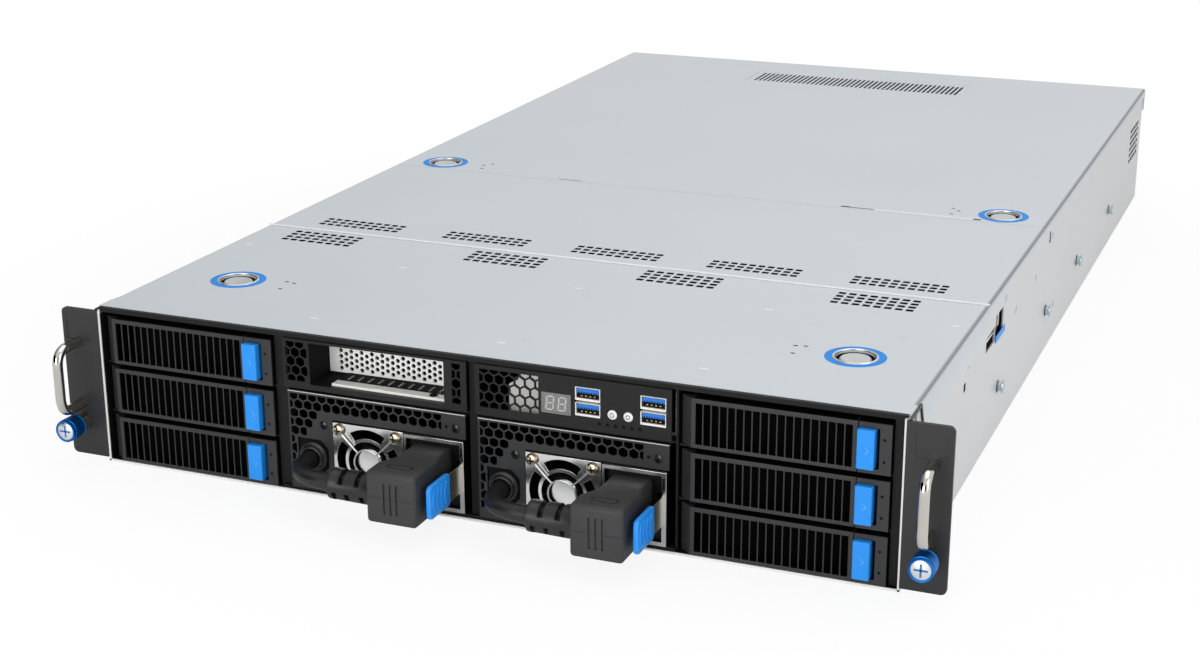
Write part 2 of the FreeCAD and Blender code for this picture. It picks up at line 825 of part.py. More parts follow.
cover_cut = (cover_low - steel, body_height + steel)
flange_front = cover_front + flange_setback
front_cover = cover("front_lid", cover_front, front_split - seam, flange_front, front_flange_height)
latch_holes(front_cover, front_latch_x, front_latch_y)
for left in (vent_a_left, vent_b_left, vent_c_left, vent_d_left):
    slot = rectangle(span(left, vent_length), span(front_split - vent_from_split, vent_slot_width))
    first_row = pocket(front_cover, "XY_Plane", cover_cut, [slot])
    repeat(front_cover, first_row, "V_Axis", vent_row_pitch, vent_rows)
seat(front_cover, "front_cover")

mid_cover = cover("middle_lid", front_split, rear_split - seam, front_split, flange_height)
hem = rectangle((-cover_half, cover_half), span(front_split, steel))
pad(mid_cover, "XY_Plane", (cover_low, body_height + hem_rise), [hem])
for k in range(-2, 3):
    left = k * mid_vent_pitch - mid_vent_width / 2
    slot = rectangle(span(left, mid_vent_width), span(front_split + mid_vent_setback, vent_slot_width))
    first_row = pocket(mid_cover, "XY_Plane", cover_cut, [slot])
    repeat(mid_cover, first_row, "V_Axis", vent_row_pitch, mid_vent_rows)
seat(mid_cover, "mid_cover")

rear_end = body_depth + rear_overhang
rear_cover = cover("rear_lid", rear_split, rear_end, rear_split, flange_height)
lip = rectangle((-cover_half, cover_half), (body_height - rear_lip_height, body_height))
pad(rear_cover, "XZ_Plane", (rear_end - flange_steel, rear_end), [lip])
latch_holes(rear_cover, rear_latch_x, rear_latch_y)
emboss = rectangle(about(0, emboss_width), about(rear_vent_middle, emboss_length))
pocket(rear_cover, "XY_Plane", (body_height - emboss_depth, body_height + steel), [emboss])
left = -rear_slot_pitch * (rear_slot_count - 1) / 2 - rear_slot_width / 2
slot = rectangle(span(left, rear_slot_width), about(rear_vent_middle, rear_slot_length))
first_slot = pocket(rear_cover, "XY_Plane", cover_cut, [slot])
repeat(rear_cover, first_slot, "H_Axis", rear_slot_pitch, rear_slot_count)
seat(rear_cover, "rear_cover")

latch_top = body_height - latch_sink
latch = new_body("cover_latch")
latch_disc = ring_outline((-front_latch_x, front_latch_y), latch_radius, WIDE_SIDES)
pad(latch, "XY_Plane", (latch_top - latch_thick, latch_top), [latch_disc])
seat(latch, "cover_latch_fl")
latch_back = rear_latch_y - front_latch_y
copy(latch, "cover_latch_fr", dx=2 * front_latch_x)
copy(latch, "cover_latch_rl", dx=front_latch_x - rear_latch_x, dy=latch_back)
copy(latch, "cover_latch_rr", dx=front_latch_x + rear_latch_x, dy=latch_back)

# Front frame: dividers, shelves, floor rail and top lip of one black sheet assembly
lip_back = cover_front - slip
lip_low = body_height - slip - lip_height
middle_x = (left_divider, right_divider)
strip_y = span(frame_front, frame_steel)
strip_z = (steel, lip_low)
bars = [
    box("lip_upper", (-half, half), (lip_front, lip_back), (wall_top + slip, body_height - slip)),
    box("lip_lower", (-inner, inner), (lip_front, lip_back), (lip_low, wall_top + slip)),
    box("lip_flange_bar", (-inner, inner), span(lip_front, lip_flange), span(lip_low, frame_steel)),
    box("psu_shelf", middle_x, (frame_front, frame_depth), span(psu_shelf_low, frame_steel)),
    box("psu_floor", middle_x, (lip_front, frame_depth), (steel, psu_floor_high)),
    box("left_strip", (bay_left + bezel_width + seam, psu_panel_left - seam), strip_y, strip_z),
    box("middle_strip", (slot_panel_right + slip, control_left - slip), strip_y, strip_z),
    box("right_strip", (bay_left + bay_pitch_x + bezel_width + seam, inner), strip_y, strip_z),
]
walls = {"left_wall": left_divider, "right_wall": right_divider, "guide_wall": right_guide, "middle_wall": 0}
for name, x in walls.items():
    bars.append(box(name, about(x, frame_steel), (frame_front, frame_depth), (steel, lip_low + frame_steel)))
for level in range(1, 3):
    high = bay_low + level * bay_pitch_z - shelf_gap
    shelf_y = (frame_front + frame_steel, backplane_y - shelf_gap)
    for name, x in (("left_shelf", (-inner, left_divider)), ("right_shelf", (right_divider, right_guide))):
        bars.append(box("%s_%d" % (name, level), x, shelf_y, (high - frame_steel, high)))
seat(fuse("frame_bars", bars), "front_frame")


# Drive carriers: the piece in the top left bay, then the other five
pivot = (bay_left + pivot_in, pivot_back)
bay_top = top_bay + bezel_height
lever_end = bay_left + lever_length
block_back = pivot_back + pivot_wall
lever = new_body("lever")
profile = [
    (bay_left, facet_depth), (bay_left + facet_width, 0), (lever_end, 0), (lever_end, lever_depth),
    (bay_left + pivot_block, lever_depth), (bay_left + pivot_block, block_back), (bay_left, block_back),
]
pad(lever, "XY_Plane", (top_bay, bay_top), [profile])
hollow_z = (top_bay + lever_rim, bay_top - lever_rim)
hollow = rectangle((bay_left + pivot_block, lever_end - lever_rim), hollow_z)
pocket(lever, "XZ_Plane", (lever_skin, block_back), [hollow])
lug_room = lug_edge + lug_thick + button_gap
for z in ((top_bay, top_bay + lug_room), (bay_top - lug_room, bay_top)):
    corner = rectangle((bay_left, bay_left + pivot_block), (lug_front - button_gap, block_back))
    pocket(lever, "XY_Plane", z, [corner])
pocket(lever, "XY_Plane", (top_bay, bay_top), [ring_outline(pivot, pivot_radius + pivot_play, SMALL_SIDES)])
slot_z = span(top_bay + grille_low, grille_height)
slot = rectangle(span(bay_left + grille_start, grille_slot), slot_z)
first_slot = pocket(lever, "XZ_Plane", (-lever_skin, lever_depth), [slot])
repeat(lever, first_slot, "H_Axis", grille_pitch, grille_count)
seat(lever, "carrier_lever_1")

cradle = new_body("cradle")
tray_left = bay_left + tray_side
tray_right = bay_left + bezel_width - tray_side
rail_z = span(top_bay + lug_edge, tray_rail_height)
plate_back = tray_front + tray_plate
plate_z = (top_bay + lug_edge, bay_top - lug_edge)
pad(cradle, "XZ_Plane", (tray_front, plate_back), [rectangle((tray_left, tray_right), plate_z)])
for x in ((tray_left, tray_left + tray_rail), (tray_right - tray_rail, tray_right)):
    pad(cradle, "YZ_Plane", x, [rectangle((tray_front, tray_front + tray_length), rail_z)])
end_left = lever_end + end_gap
pad(cradle, "XY_Plane", (top_bay, bay_top), [rectangle((end_left, bay_left + bezel_width), (0, plate_back))])
recess_right = bay_left + button_left + button_width + button_travel + button_gap
recess_z = (top_bay + button_low - button_gap, top_bay + button_low + button_height + button_gap)
recess = rectangle((end_left - end_gap, recess_right), recess_z)
pocket(cradle, "XZ_Plane", (-button_proud, button_pocket), [recess])
lug_left = pivot[0] + lug_front - pivot_back
lug_right = bay_left + pivot_block - lug_bevel
lug = [
    (lug_left, plate_back), (lug_left, lug_front + lug_bevel), (lug_left + lug_bevel, lug_front),
    (lug_right, lug_front), (lug_right, plate_back),
]
for low in (top_bay + lug_edge, bay_top - lug_edge - lug_thick):
    pad(cradle, "XY_Plane", span(low, lug_thick), [lug])
pad(cradle, "XY_Plane", plate_z, [(pivot, pivot_radius)])
drive_x = (tray_left + tray_rail + slip, tray_right - tray_rail - slip)
drive = box("drive", drive_x, span(plate_back + slip, drive_length), span(top_bay + lug_edge, drive_height))
carrier = seat(group("carrier", [cradle, drive]), "drive_carrier_1")

button = new_body("release_button")
button_x = span(bay_left + button_left, button_width)
button_z = span(top_bay + button_low, button_height)
pad(button, "XZ_Plane", span(-button_proud, button_depth), [rectangle(button_x, button_z)])
soften(button, "Chamfer", button_round, lambda middle, edge: near(middle.y, -button_proud))
seat(button, "carrier_button_1")

for number in range(2, 7):
    column, row = divmod(number - 1, 3)
    for source, label in ((lever, "carrier_lever"), (carrier, "drive_carrier"), (button, "carrier_button")):
        copy(source, "%s_%d" % (label, number), dx=column * bay_pitch_x, dz=-row * bay_pitch_z)

# Rack ears, bow handles and thumb screws
ear = new_body("right_ear")
ear_front = -ear_proud
ear_back = ear_thick - ear_proud
rack_x = rack_hole_span / 2
pad(ear, "XZ_Plane", (ear_front, ear_back), [rectangle((half, ear_span / 2), span(ear_low, ear_height))])


def at_ear_corner(middle, edge):
    return near(middle.x, ear_span / 2) and near(edge.Length, ear_thick)


soften(ear, "Fillet", ear_corner, at_ear_corner)
ear_side = rectangle((ear_front, ear_flange), span(ear_low, ear_flange_height))
pad(ear, "YZ_Plane", span(half, ear_flange_thick), [ear_side])
rack_hole = ring_outline((rack_x, thumb_height), shaft_radius + shaft_clearance, SMALL_SIDES)
pocket(ear, "XZ_Plane", (ear_front, ear_back), [rack_hole])
ear_middle = (half + ear_span / 2) / 2 + ear_proud
blank = rectangle(about(ear_middle, ear_recess_width), span(ear_recess_low, ear_recess_height))
pocket(ear, "XZ_Plane", span(ear_front, ear_recess_depth), [blank])
left_ear = doc.addObject("Part::Mirroring", "left_ear")
left_ear.Source = ear
left_ear.Normal = Vector(1, 0, 0)
seat(group("ears", [ear, left_ear]), "rack_ears")

bows = []
for side in (-1, 1):
    route = [
        (side * rack_x, ear_front, handle_low), (side * rack_x, ear_front - handle_reach, handle_low),
        (side * rack_x, ear_front - handle_reach, handle_low + handle_pitch),
        (side * rack_x, ear_front, handle_low + handle_pitch),
    ]
    bows.append(tube("bow_%s" % ("left" if side < 0 else "right"), route, handle_bend, handle_radius))
seat(group("bows", bows), "rack_handles")

thumb = new_body("thumb")
thumb_front = -thumb_reach
knob_back = thumb_front + thumb_knob
ear_face = ear_front - sleeve_gap
thumb_axis = (-rack_x, thumb_height)
pad(thumb, "XZ_Plane", (thumb_front, knob_back), [ring_outline(thumb_axis, thumb_radius, WIDE_SIDES)])
pad(thumb, "XZ_Plane", (knob_back, ear_face), [ring_outline(thumb_axis, sleeve_radius, SMALL_SIDES)])
shaft_front = ear_back + neck_length
pad(thumb, "XZ_Plane", (ear_face, shaft_front), [ring_outline(thumb_axis, neck_radius, SMALL_SIDES)])
pad(thumb, "XZ_Plane", (shaft_front, ear_back + shaft_tail), [(thumb_axis, shaft_radius)])
seat(thumb, "thumb_screw_left")
copy(thumb, "thumb_screw_right", dx=rack_hole_span)

# Rail studs on both side walls
loose = []
for side in (-1, 1):
    for place in (stud_first, stud_second, stud_third, stud_fourth):
        name = "stud_%d" % len(loose)
        foot = half if side > 0 else -half - stud_length
        loose.append(cylinder(name, "x", stud_radius, (foot, place, stud_height), stud_length))
seat(group("loose", loose), "fasteners")

# Slot panel with its recess, and the perforated bracket in it
slot_panel = new_body("slot_sheet")
pad(slot_panel, "XZ_Plane", (0, panel_steel), [
    rectangle((slot_panel_left, slot_panel_right), (panel_low, panel_high)),
    rectangle((slot_left, slot_right), (slot_low, slot_high)),
])
floor_z = (slot_low - panel_steel, slot_low)
floor_x = (slot_left - panel_steel, slot_right + panel_steel)
pad(slot_panel, "XY_Plane", floor_z, [rectangle(floor_x, (0, bracket_back - slip))])
for side in ((slot_left - panel_steel, slot_left), (slot_right, slot_right + panel_steel)):
    pad(slot_panel, "YZ_Plane", side, [rectangle((0, bracket_back + panel_steel), (floor_z[0], slot_high))])
rows_high = panel_high - slot_hex_margin
narrow = (slot_hex_right_x - slot_hex_narrow / 2, slot_hex_right_x + slot_hex_narrow / 2)
cells_left = honeycomb("slot_cells_left", slot_hex_x, slot_hex_z, [
    (slot_panel_left + slot_hex_margin, slot_left - panel_steel - slip, slot_hex_low, rows_high),
], -panel_steel, 2 * panel_steel)
cells_right = honeycomb("slot_cells_right", slot_hex_right_x, slot_hex_z, [
    (narrow[0], narrow[1], slot_hex_low, rows_high),
], -panel_steel, 2 * panel_steel)
seat(cut("slot_plate", slot_panel, [cells_left, cells_right]), "slot_panel")

bracket_x = (slot_left + slip / 2, slot_right - slip / 2)
ledge_x = (slot_left + ledge_inset, slot_right - slip / 2)
bracket_parts = [
    box("bracket_sheet", bracket_x, span(bracket_back, panel_steel), (slot_low, bracket_top)),
    box("bracket_ledge", ledge_x, (ledge_front, bracket_back), span(slot_low, ledge_thick)),
]
seat(fuse("bracket_set", bracket_parts), "slot_bracket")

# Control panel with display, ports and push buttons
control = new_body("control_sheet")
outline = rectangle((control_left, control_right), (panel_low, panel_high))
display_x = span(display_left, display_width)
display_z = span(display_low, display_height)
windows = [rectangle(grown(display_x, window_gap), grown(display_z, window_gap))]
usb_z = span(usb_low, usb_height)
for k in range(2):
    usb_x = span(usb_left + k * usb_pitch_x, usb_width)
    windows.append(rectangle(grown(usb_x, window_gap), grown(usb_z, window_gap)))
for x in (id_x, power_x):
    windows.append(ring_outline((x, push_z), push_radius + push_clearance, SMALL_SIDES))
pad(control, "XZ_Plane", (0, panel_steel), [outline] + windows)
cells = honeycomb("control_cells", control_hex_x, control_hex_z, [
    (control_hex_left, control_hex_right, control_hex_low, control_hex_high),
], -panel_steel, 2 * panel_steel)
seat(cut("control_plate", control, [cells]), "control_panel")

display = new_body("display_block")
pad(display, "XZ_Plane", span(display_sink, display_depth), [rectangle(display_x, display_z)])
seat(display, "digit_display")

sockets = []
carrier_z = (panel_low, panel_high - panel_steel)
for k in range(2):
    x = span(usb_left + k * usb_pitch_x, usb_width)
    shell = new_body("usb_%d" % k)
    pad(shell, "XZ_Plane", (0, usb_depth), [rectangle(x, usb_z)])
    mouth_x = (x[0] + usb_shell, x[1] - usb_shell)
    middle_z = usb_low + usb_height / 2
    mouths = [
        rectangle(mouth_x, (usb_z[0] + usb_shell, middle_z - usb_bridge / 2)),
        rectangle(mouth_x, (middle_z + usb_bridge / 2, usb_z[1] - usb_shell)),
    ]
    pocket(shell, "XZ_Plane", (-slip, usb_pocket), mouths)
    for high in (middle_z - usb_bridge / 2, usb_z[1] - usb_shell):
        blade = rectangle(grown(x, -usb_tongue_inset), span(high - usb_shell - usb_tongue, usb_tongue))
        pad(shell, "XZ_Plane", (usb_tongue_sink, usb_depth), [blade])
    sockets.append(shell)
backing = box("port_carrier", (carrier_left, control_right), span(carrier_back, panel_steel), carrier_z)
room_x = (carrier_left + usb_width, control_right - slip)
room = box("port_room", room_x, grown(span(carrier_back, panel_steel), slip), grown(carrier_z, -panel_steel))
seat(group("ports", [cut("port_sheet", backing, [room])] + sockets), "usb_ports")

push = new_body("push")
push_front = -push_proud
pad(push, "XZ_Plane", span(push_front, push_depth), [ring_outline((id_x, push_z), push_radius, SMALL_SIDES)])
seat(push, "id_button")
copy(push, "power_button", dx=power_x - id_x)

# Power supply panels with honeycomb openings
psu_panel = new_body("psu_sheet")
psu_right = psu_left + psu_width
psu_top = psu_low + psu_height
opening_left = psu_left - psu_gap
outline = [
    (psu_panel_left, psu_panel_low), (opening_left, psu_panel_low), (opening_left, psu_top + psu_gap),
    (psu_panel_right, psu_top + psu_gap), (psu_panel_right, psu_panel_high), (psu_panel_left, psu_panel_high),
]


def gland_outline(gap):
    left, right = gland_x - gland_width / 2 - gap, gland_x + gland_width / 2 + gap
    low, high = cord_z - gland_height / 2 - gap, cord_z + gland_height / 2 + gap
    return [
        (left, low), (right - gland_chamfer, low), (right, low + gland_chamfer),
        (right, high - gland_chamfer), (right - gland_chamfer, high), (left, high),
    ]


pad(psu_panel, "XZ_Plane", (0, panel_steel), [outline, gland_outline(window_gap)])
panel_rim = rectangle((psu_panel_left, psu_panel_right), (0, psu_panel_flange))
pad(psu_panel, "XY_Plane", (psu_panel_high - panel_steel, psu_panel_high), [panel_rim])
hex_left = psu_panel_left + psu_hex_margin
row_half = hex_row / 2
cells = honeycomb("psu_cells", psu_panel_left + psu_hex_x, psu_hex_z, [
    (hex_left, psu_panel_left + psu_hex_long, psu_hex_z - row_half, psu_hex_top),
], -panel_steel, 2 * panel_steel)
left_panel = cut("psu_plate", psu_panel, [cells])
right_panel = group("psu_plate_right", [left_panel])
bind(right_panel, "Placement.Base.x", psu_pitch)
seat(group("psu_plates", [left_panel, right_panel]), "psu_panels")

# Cord glands in the panels
gland = new_body("gland")
pad(gland, "XZ_Plane", (0, gland_base), [gland_outline(0)])
gland_middle = (gland_x, cord_z)
pad(gland, "XZ_Plane", (-gland_step, gland_base), [ring_outline(gland_middle, gland_flange, SMALL_SIDES)])
pad(gland, "XZ_Plane", (-2 * gland_step, gland_base), [ring_outline(gland_middle, gland_collar, SMALL_SIDES)])
gland_bore = ring_outline(gland_middle, cord_radius + gland_bore_gap, SMALL_SIDES, 15)
pocket(gland, "XZ_Plane", (-3 * gland_step, 2 * gland_base), [gland_bore])
right_gland = group("gland_right", [gland])
bind(right_gland, "Placement.Base.x", psu_pitch)
seat(group("glands", [gland, right_gland]), "cord_glands")

# Power supply case with fan bore, inlet recess and latch well
case = new_body("psu_block")
psu_z = (psu_low, psu_top)
pad(case, "XZ_Plane", span(psu_front, psu_length), [rectangle((psu_left, psu_right), psu_z)])
fan_bottom = psu_front + fan_bore_depth
pocket(case, "XZ_Plane", (psu_front, fan_bottom), [((fan_x, fan_z), fan_bore)])
inlet = rectangle((inlet_left, inlet_right), (inlet_low, inlet_high))
pocket(case, "XZ_Plane", span(psu_front, inlet_sink), [inlet])
nose_x = (plug_right - plug_width + plug_step + nose_inset, plug_right - plug_right_step - nose_inset)
nose_z = (plug_low + nose_inset, plug_low + plug_height - nose_inset)
plug_back = psu_front + inlet_sink - slip
well = rectangle(grown(nose_x, nose_gap), grown(nose_z, nose_gap))
pocket(case, "XZ_Plane", (psu_front, plug_back + nose_depth + nose_gap), [well])
well_z = grown(span(tongue_low, tongue_height), latch_well_gap)
latch_room = rectangle((tab_x - latch_well - latch_barrel, tab_x + latch_well), well_z)
pocket(case, "XZ_Plane", (psu_front, latch_well_depth), [latch_room])
latch_axis = (tab_x, latch_pivot_y)
pad(case, "XY_Plane", grown(well_z, slip), [(latch_axis, latch_pin)])
seat(case, "psu_case_left")
copy(case, "psu_case_right", dx=psu_pitch)


# Fan rotors: a hub with leaning blades in a ring
def rotor(name, x, z, front, back, hub_radius, tip_radius, chord, lean, thick):
    body = new_body(name)
    pad(body, "XZ_Plane", (front, back), [((x, z), hub_radius)])
    middle = (front + back) / 2
    blade = [
        (middle - chord / 2, z - lean / 2 - thick / 2), (middle - chord / 2, z - lean / 2 + thick / 2),
        (middle + chord / 2, z + lean / 2 + thick / 2), (middle + chord / 2, z + lean / 2 - thick / 2),
    ]
    feature = pad(body, "YZ_Plane", (x + hub_radius * 0.7, x + tip_radius - thick), [blade])
    ring = body.newObject("PartDesign::PolarPattern", name + "_ring")
    ring.Originals = [feature]
    ring.Axis = (axis_sketch(body, x, z), ["N_Axis"])
    ring.Angle = 360
    bind(ring, "Occurrences", fan_blades)
    body.Tip = ring
    return body


def axis_sketch(body, x, z):
    """A small construction sketch whose normal is the turning axis."""
    sketch = draw(body, "XZ_Plane", 0, [], (x, z))
    sketch.addGeometry(Part.Circle(Vector(0, 0, 0), Vector(0, 0, 1), guard_wire.value), True)
    return sketch


hub_back = fan_bottom - fan_hub_gap
psu_rotor = rotor(
    "psu_fan", fan_x, fan_z, psu_front + fan_hub_front, hub_back, fan_hub_radius, fan_tip_radius,
    blade_chord, blade_lean, blade_thick,
)
seat(psu_rotor, "psu_rotor_left")
copy(psu_rotor, "psu_rotor_right", dx=psu_pitch)

# Wire guard: rings bent in short straight runs, joined by diagonal spokes that end under the corner screws
def flat_ring(name, radius):
    body = new_body(name)
    hub = (fan_x, fan_z)
    outer = ring_outline(hub, radius + guard_wire, SMALL_SIDES)
    inner_edge = ring_outline(hub, radius - guard_wire, SMALL_SIDES)
    pad(body, "XZ_Plane", about(wire_y, 2 * guard_wire), [outer, inner_edge])
    return body


wire_y = psu_front - guard_front
wires = []
for name, radius in (("outer", guard_outer), ("middle", guard_middle), ("inner", guard_inner)):
    wires.append(flat_ring("guard_" + name, radius))
reach = guard_hole_pitch / 2
for k, (side_x, side_z) in enumerate(((-1, -1), (1, -1), (1, 1), (-1, 1))):
    wide_x, wide_z = side_x * guard_wire, side_z * guard_wire
    near_x, near_z = fan_x + side_x * guard_inner / 2, fan_z + side_z * guard_inner / 2
    end_x, end_z = fan_x + side_x * reach, fan_z + side_z * reach
    leg = [
        (near_x - wide_x, near_z + wide_z), (near_x + wide_x, near_z - wide_z),
        (end_x + wide_x, end_z - wide_z), (end_x - wide_x, end_z + wide_z),
    ]
    arm = new_body("guard_arm_%d" % k)
    pad(arm, "XZ_Plane", about(wire_y, 2 * guard_wire), [leg])
    pad(arm, "XZ_Plane", (wire_y - guard_front, psu_front), [ring_outline((end_x, end_z), guard_screw, 6)])
    wires.append(arm)
guard = seat(fuse("guard", wires), "psu_guard_left")
copy(guard, "psu_guard_right", dx=psu_pitch)

# Release latch: a tab on a tongue that turns on the pin in its well
release = new_body("release_latch")
tab_y = span(-tab_front, tab_length)
tab_z = span(tab_low, tab_height)
pad(release, "XY_Plane", tab_z, [rectangle(about(tab_x, tab_thick), tab_y)])
soften(release, "Chamfer", button_round, lambda middle, edge: near(middle.y, -tab_front))
tongue_z = span(tongue_low, tongue_height)
tongue_y = (tab_y[1] - tongue_thick, latch_pivot_y)
pad(release, "XY_Plane", tongue_z, [rectangle(about(tab_x, tongue_thick), tongue_y)])
pad(release, "XY_Plane", tongue_z, [ring_outline(latch_axis, latch_barrel, SMALL_SIDES)])
eye = ring_outline(latch_axis, latch_pin + latch_play, SMALL_SIDES)
pocket(release, "XY_Plane", grown(tongue_z, slip), [eye])
seat(release, "psu_latch_left")
copy(release, "psu_latch_right", dx=psu_pitch)

# Power plug with grip grooves and a grooved strain relief
plug = new_body("plug")
plug_left = plug_right - plug_width
plug_front = -plug_reach
plug_z = span(plug_low, plug_height)
shoulder = plug_front + plug_shoulder
outline = [
    (plug_right, plug_front), (plug_left, plug_front), (plug_left, shoulder),
    (plug_left + plug_step, shoulder + plug_taper), (plug_left + plug_step, plug_back),
    (plug_right - plug_right_step, plug_back),
    (plug_right - plug_right_step, shoulder + plug_taper + plug_step), (plug_right, shoulder + plug_taper),
]
pad(plug, "XY_Plane", plug_z, [outline])


def at_plug_front(middle, edge):
    return near(middle.y, plug_front) and near(edge.Length, plug_height)


soften(plug, "Fillet", plug_round, at_plug_front)
groove_x = plug_left + plug_width / 2 + groove_width
grooves = []
for k in range(-1, 2):
    groove_z = span(plug_low + groove_low, groove_height)
    grooves.append(rectangle(about(groove_x + k * groove_pitch, groove_width), groove_z))
pocket(plug, "XZ_Plane", span(plug_front, groove_depth), grooves)
grip = rectangle(about(plug_left + plug_width / 2, grip_length), about(shoulder, grip_width))
pocket(plug, "XY_Plane", (plug_z[1] - grip_depth, plug_z[1] + slip), [grip])
pad(plug, "XZ_Plane", (plug_back, plug_back + nose_depth), [rectangle(nose_x, nose_z)])
cord_y = -cord_reach
relief_end = gland_x + cord_bend + cord_lead
relief_root_x = plug_left + plug_step
relief_axis = (cord_y, cord_z)
ring_length = (relief_root_x - relief_end) / RELIEF_RINGS
pad(plug, "YZ_Plane", (relief_end, relief_root_x), [ring_outline(relief_axis, relief_core, SMALL_SIDES)])
for k in range(RELIEF_RINGS):
    radius = relief_tip + k * (relief_root - relief_tip) / (RELIEF_RINGS - 1)
    low = relief_end + k * ring_length
    collar = ring_outline(relief_axis, radius, SMALL_SIDES)
    pad(plug, "YZ_Plane", span(low, ring_length - relief_groove), [collar])
seat(plug, "power_plug_left")
copy(plug, "power_plug_right", dx=psu_pitch)

route = [(relief_end, cord_y, cord_z), (gland_x, cord_y, cord_z), (gland_x, cord_tail, cord_z)]
cord = seat(tube("cord", route, cord_bend, cord_radius), "power_cord_left")
copy(cord, "power_cord_right", dx=psu_pitch)

# System fans behind the bays
cage_back = cage_front + cage_depth
cage_body = new_body("cage_block")
places = [-1.5 * system_fan_pitch, -0.5 * system_fan_pitch, 0.5 * system_fan_pitch, 1.5 * system_fan_pitch]
bores = [ring_outline((x, system_fan_z), system_fan_bore, 8, 22.5) for x in places]
cage_face = rectangle(about(0, cage_width), (steel, cage_top))
pad(cage_body, "XZ_Plane", (cage_front, cage_back), [cage_face] + bores)
for x in places:
    bar = rectangle(about(x, system_bar), (steel, cage_top))
    pad(cage_body, "XZ_Plane", (cage_back - system_bar_depth, cage_back), [bar])
seat(cage_body, "fan_cage")
system_front = cage_front + system_hub_front
system_back = cage_back - system_bar_depth - fan_hub_gap
first_fan = rotor(
    "system_fan", places[0], system_fan_z, system_front, system_back, system_hub, system_tip,
    system_chord, system_lean, system_blade,
)
seat(first_fan, "fan_rotor_1")
for k in range(1, 4):
    copy(first_fan, "fan_rotor_%d" % (k + 1), dx=k * system_fan_pitch)

# Boards, heat sinks and cards inside
board_y = span(board_front, board_length)
board_top = board_low + board_thick
main_parts = [box("board", (-board_half, board_half), board_y, (board_low, board_top))]
for x in (-board_half + post_inset, board_half - post_inset):
    for y in (board_y[0] + post_inset, (board_y[0] + board_y[1]) / 2, board_y[1] - post_inset):
        name = "post_%d" % len(main_parts)
        main_parts.append(box(name, about(x, post_width), about(y, post_width), (steel, board_low)))
port_y = (body_depth - 2 * steel - port_depth, body_depth - 2 * steel)
port_z = span(board_top, port_height - slip)
port_block = box("port_block", about(0, port_width - 2 * slip), port_y, port_z)
boards = [fuse("main_board", main_parts + [port_block])]
for k, side in enumerate((-1, 1)):
    fins = new_body("sink_%d" % k)
    sink_x = about(side * sink_pitch / 2, sink_width)
    pad(fins, "XY_Plane", span(board_top, sink_height), [rectangle(sink_x, span(sink_front, sink_length))])
    fin_pitch = sink_width / fin_count
    fin_x = span(sink_x[0] + (fin_pitch - fin_gap) / 2, fin_gap)
    fin_slot = rectangle(fin_x, grown(span(sink_front, sink_length), slip))
    fin_z = (board_top + fin_base, board_top + sink_height + slip)
    repeat(fins, pocket(fins, "XY_Plane", fin_z, [fin_slot]), "H_Axis", fin_pitch, fin_count)
    boards.append(fins)
backplane_z = span(steel, backplane_height)
sides = ((-inner, left_divider - frame_steel), (right_divider + frame_steel, right_guide - frame_steel))
for k, (left, right) in enumerate(sides):
    sheet_y = span(backplane_y, backplane_thick)
    boards.append(box("backplane_%d" % k, (left + slip, right), sheet_y, backplane_z))
seat(group("board_set", boards), "circuit_boards")

cards = []
for k, left in enumerate((card_left, inner - card_edge - card_width)):
    for row in range(2):
        low = steel + slip + row * card_pitch
        shroud = new_body("card_%d_%d" % (k, row))
        face = rectangle(span(left, card_width), span(low, card_thick))
        pad(shroud, "XZ_Plane", span(card_front, card_length), [face])
        duct = rectangle(
            (left + card_duct, left + card_width - card_duct), (low + card_duct, low + card_thick - card_duct)
        )
        pocket(shroud, "XZ_Plane", span(card_front - slip, card_length / 4), [duct])
        cards.append(shroud)
seat(group("card_set", cards), "gpu_cards")

doc.recompute()
faults = [item.Name for item in doc.Objects if "Invalid" in item.State or "Error" in item.State]
print("faults", faults)
os.makedirs("parts", exist_ok=True)
for node in nodes:
    shape = node.Shape
    good = not shape.isNull() and shape.isValid() and len(shape.Solids) > 0
    state = "ok" if good else "BAD"
    print("%-20s solids %2d volume %10.0f %s" % (node.Label, len(shape.Solids), shape.Volume, state))
    if not good or faults:
        raise RuntimeError("sub-part not sound: " + node.Label)
    shape.exportStep("parts/%s.step" % node.Label)
print("sub-parts", len(nodes))
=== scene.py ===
# %% [markdown]
# A server for graphics cards is a long flat box of sheet steel that hangs in a rack by two ears.
# Its solids come from the packed model, which stays where it is, and this lesson dresses them:
# steel that looks rolled, plastic that looks moulded, and the small pieces that a solid leaves plain.

# %% Load the frame
import math

import bmesh
import bpy
from mathutils import Matrix, Vector


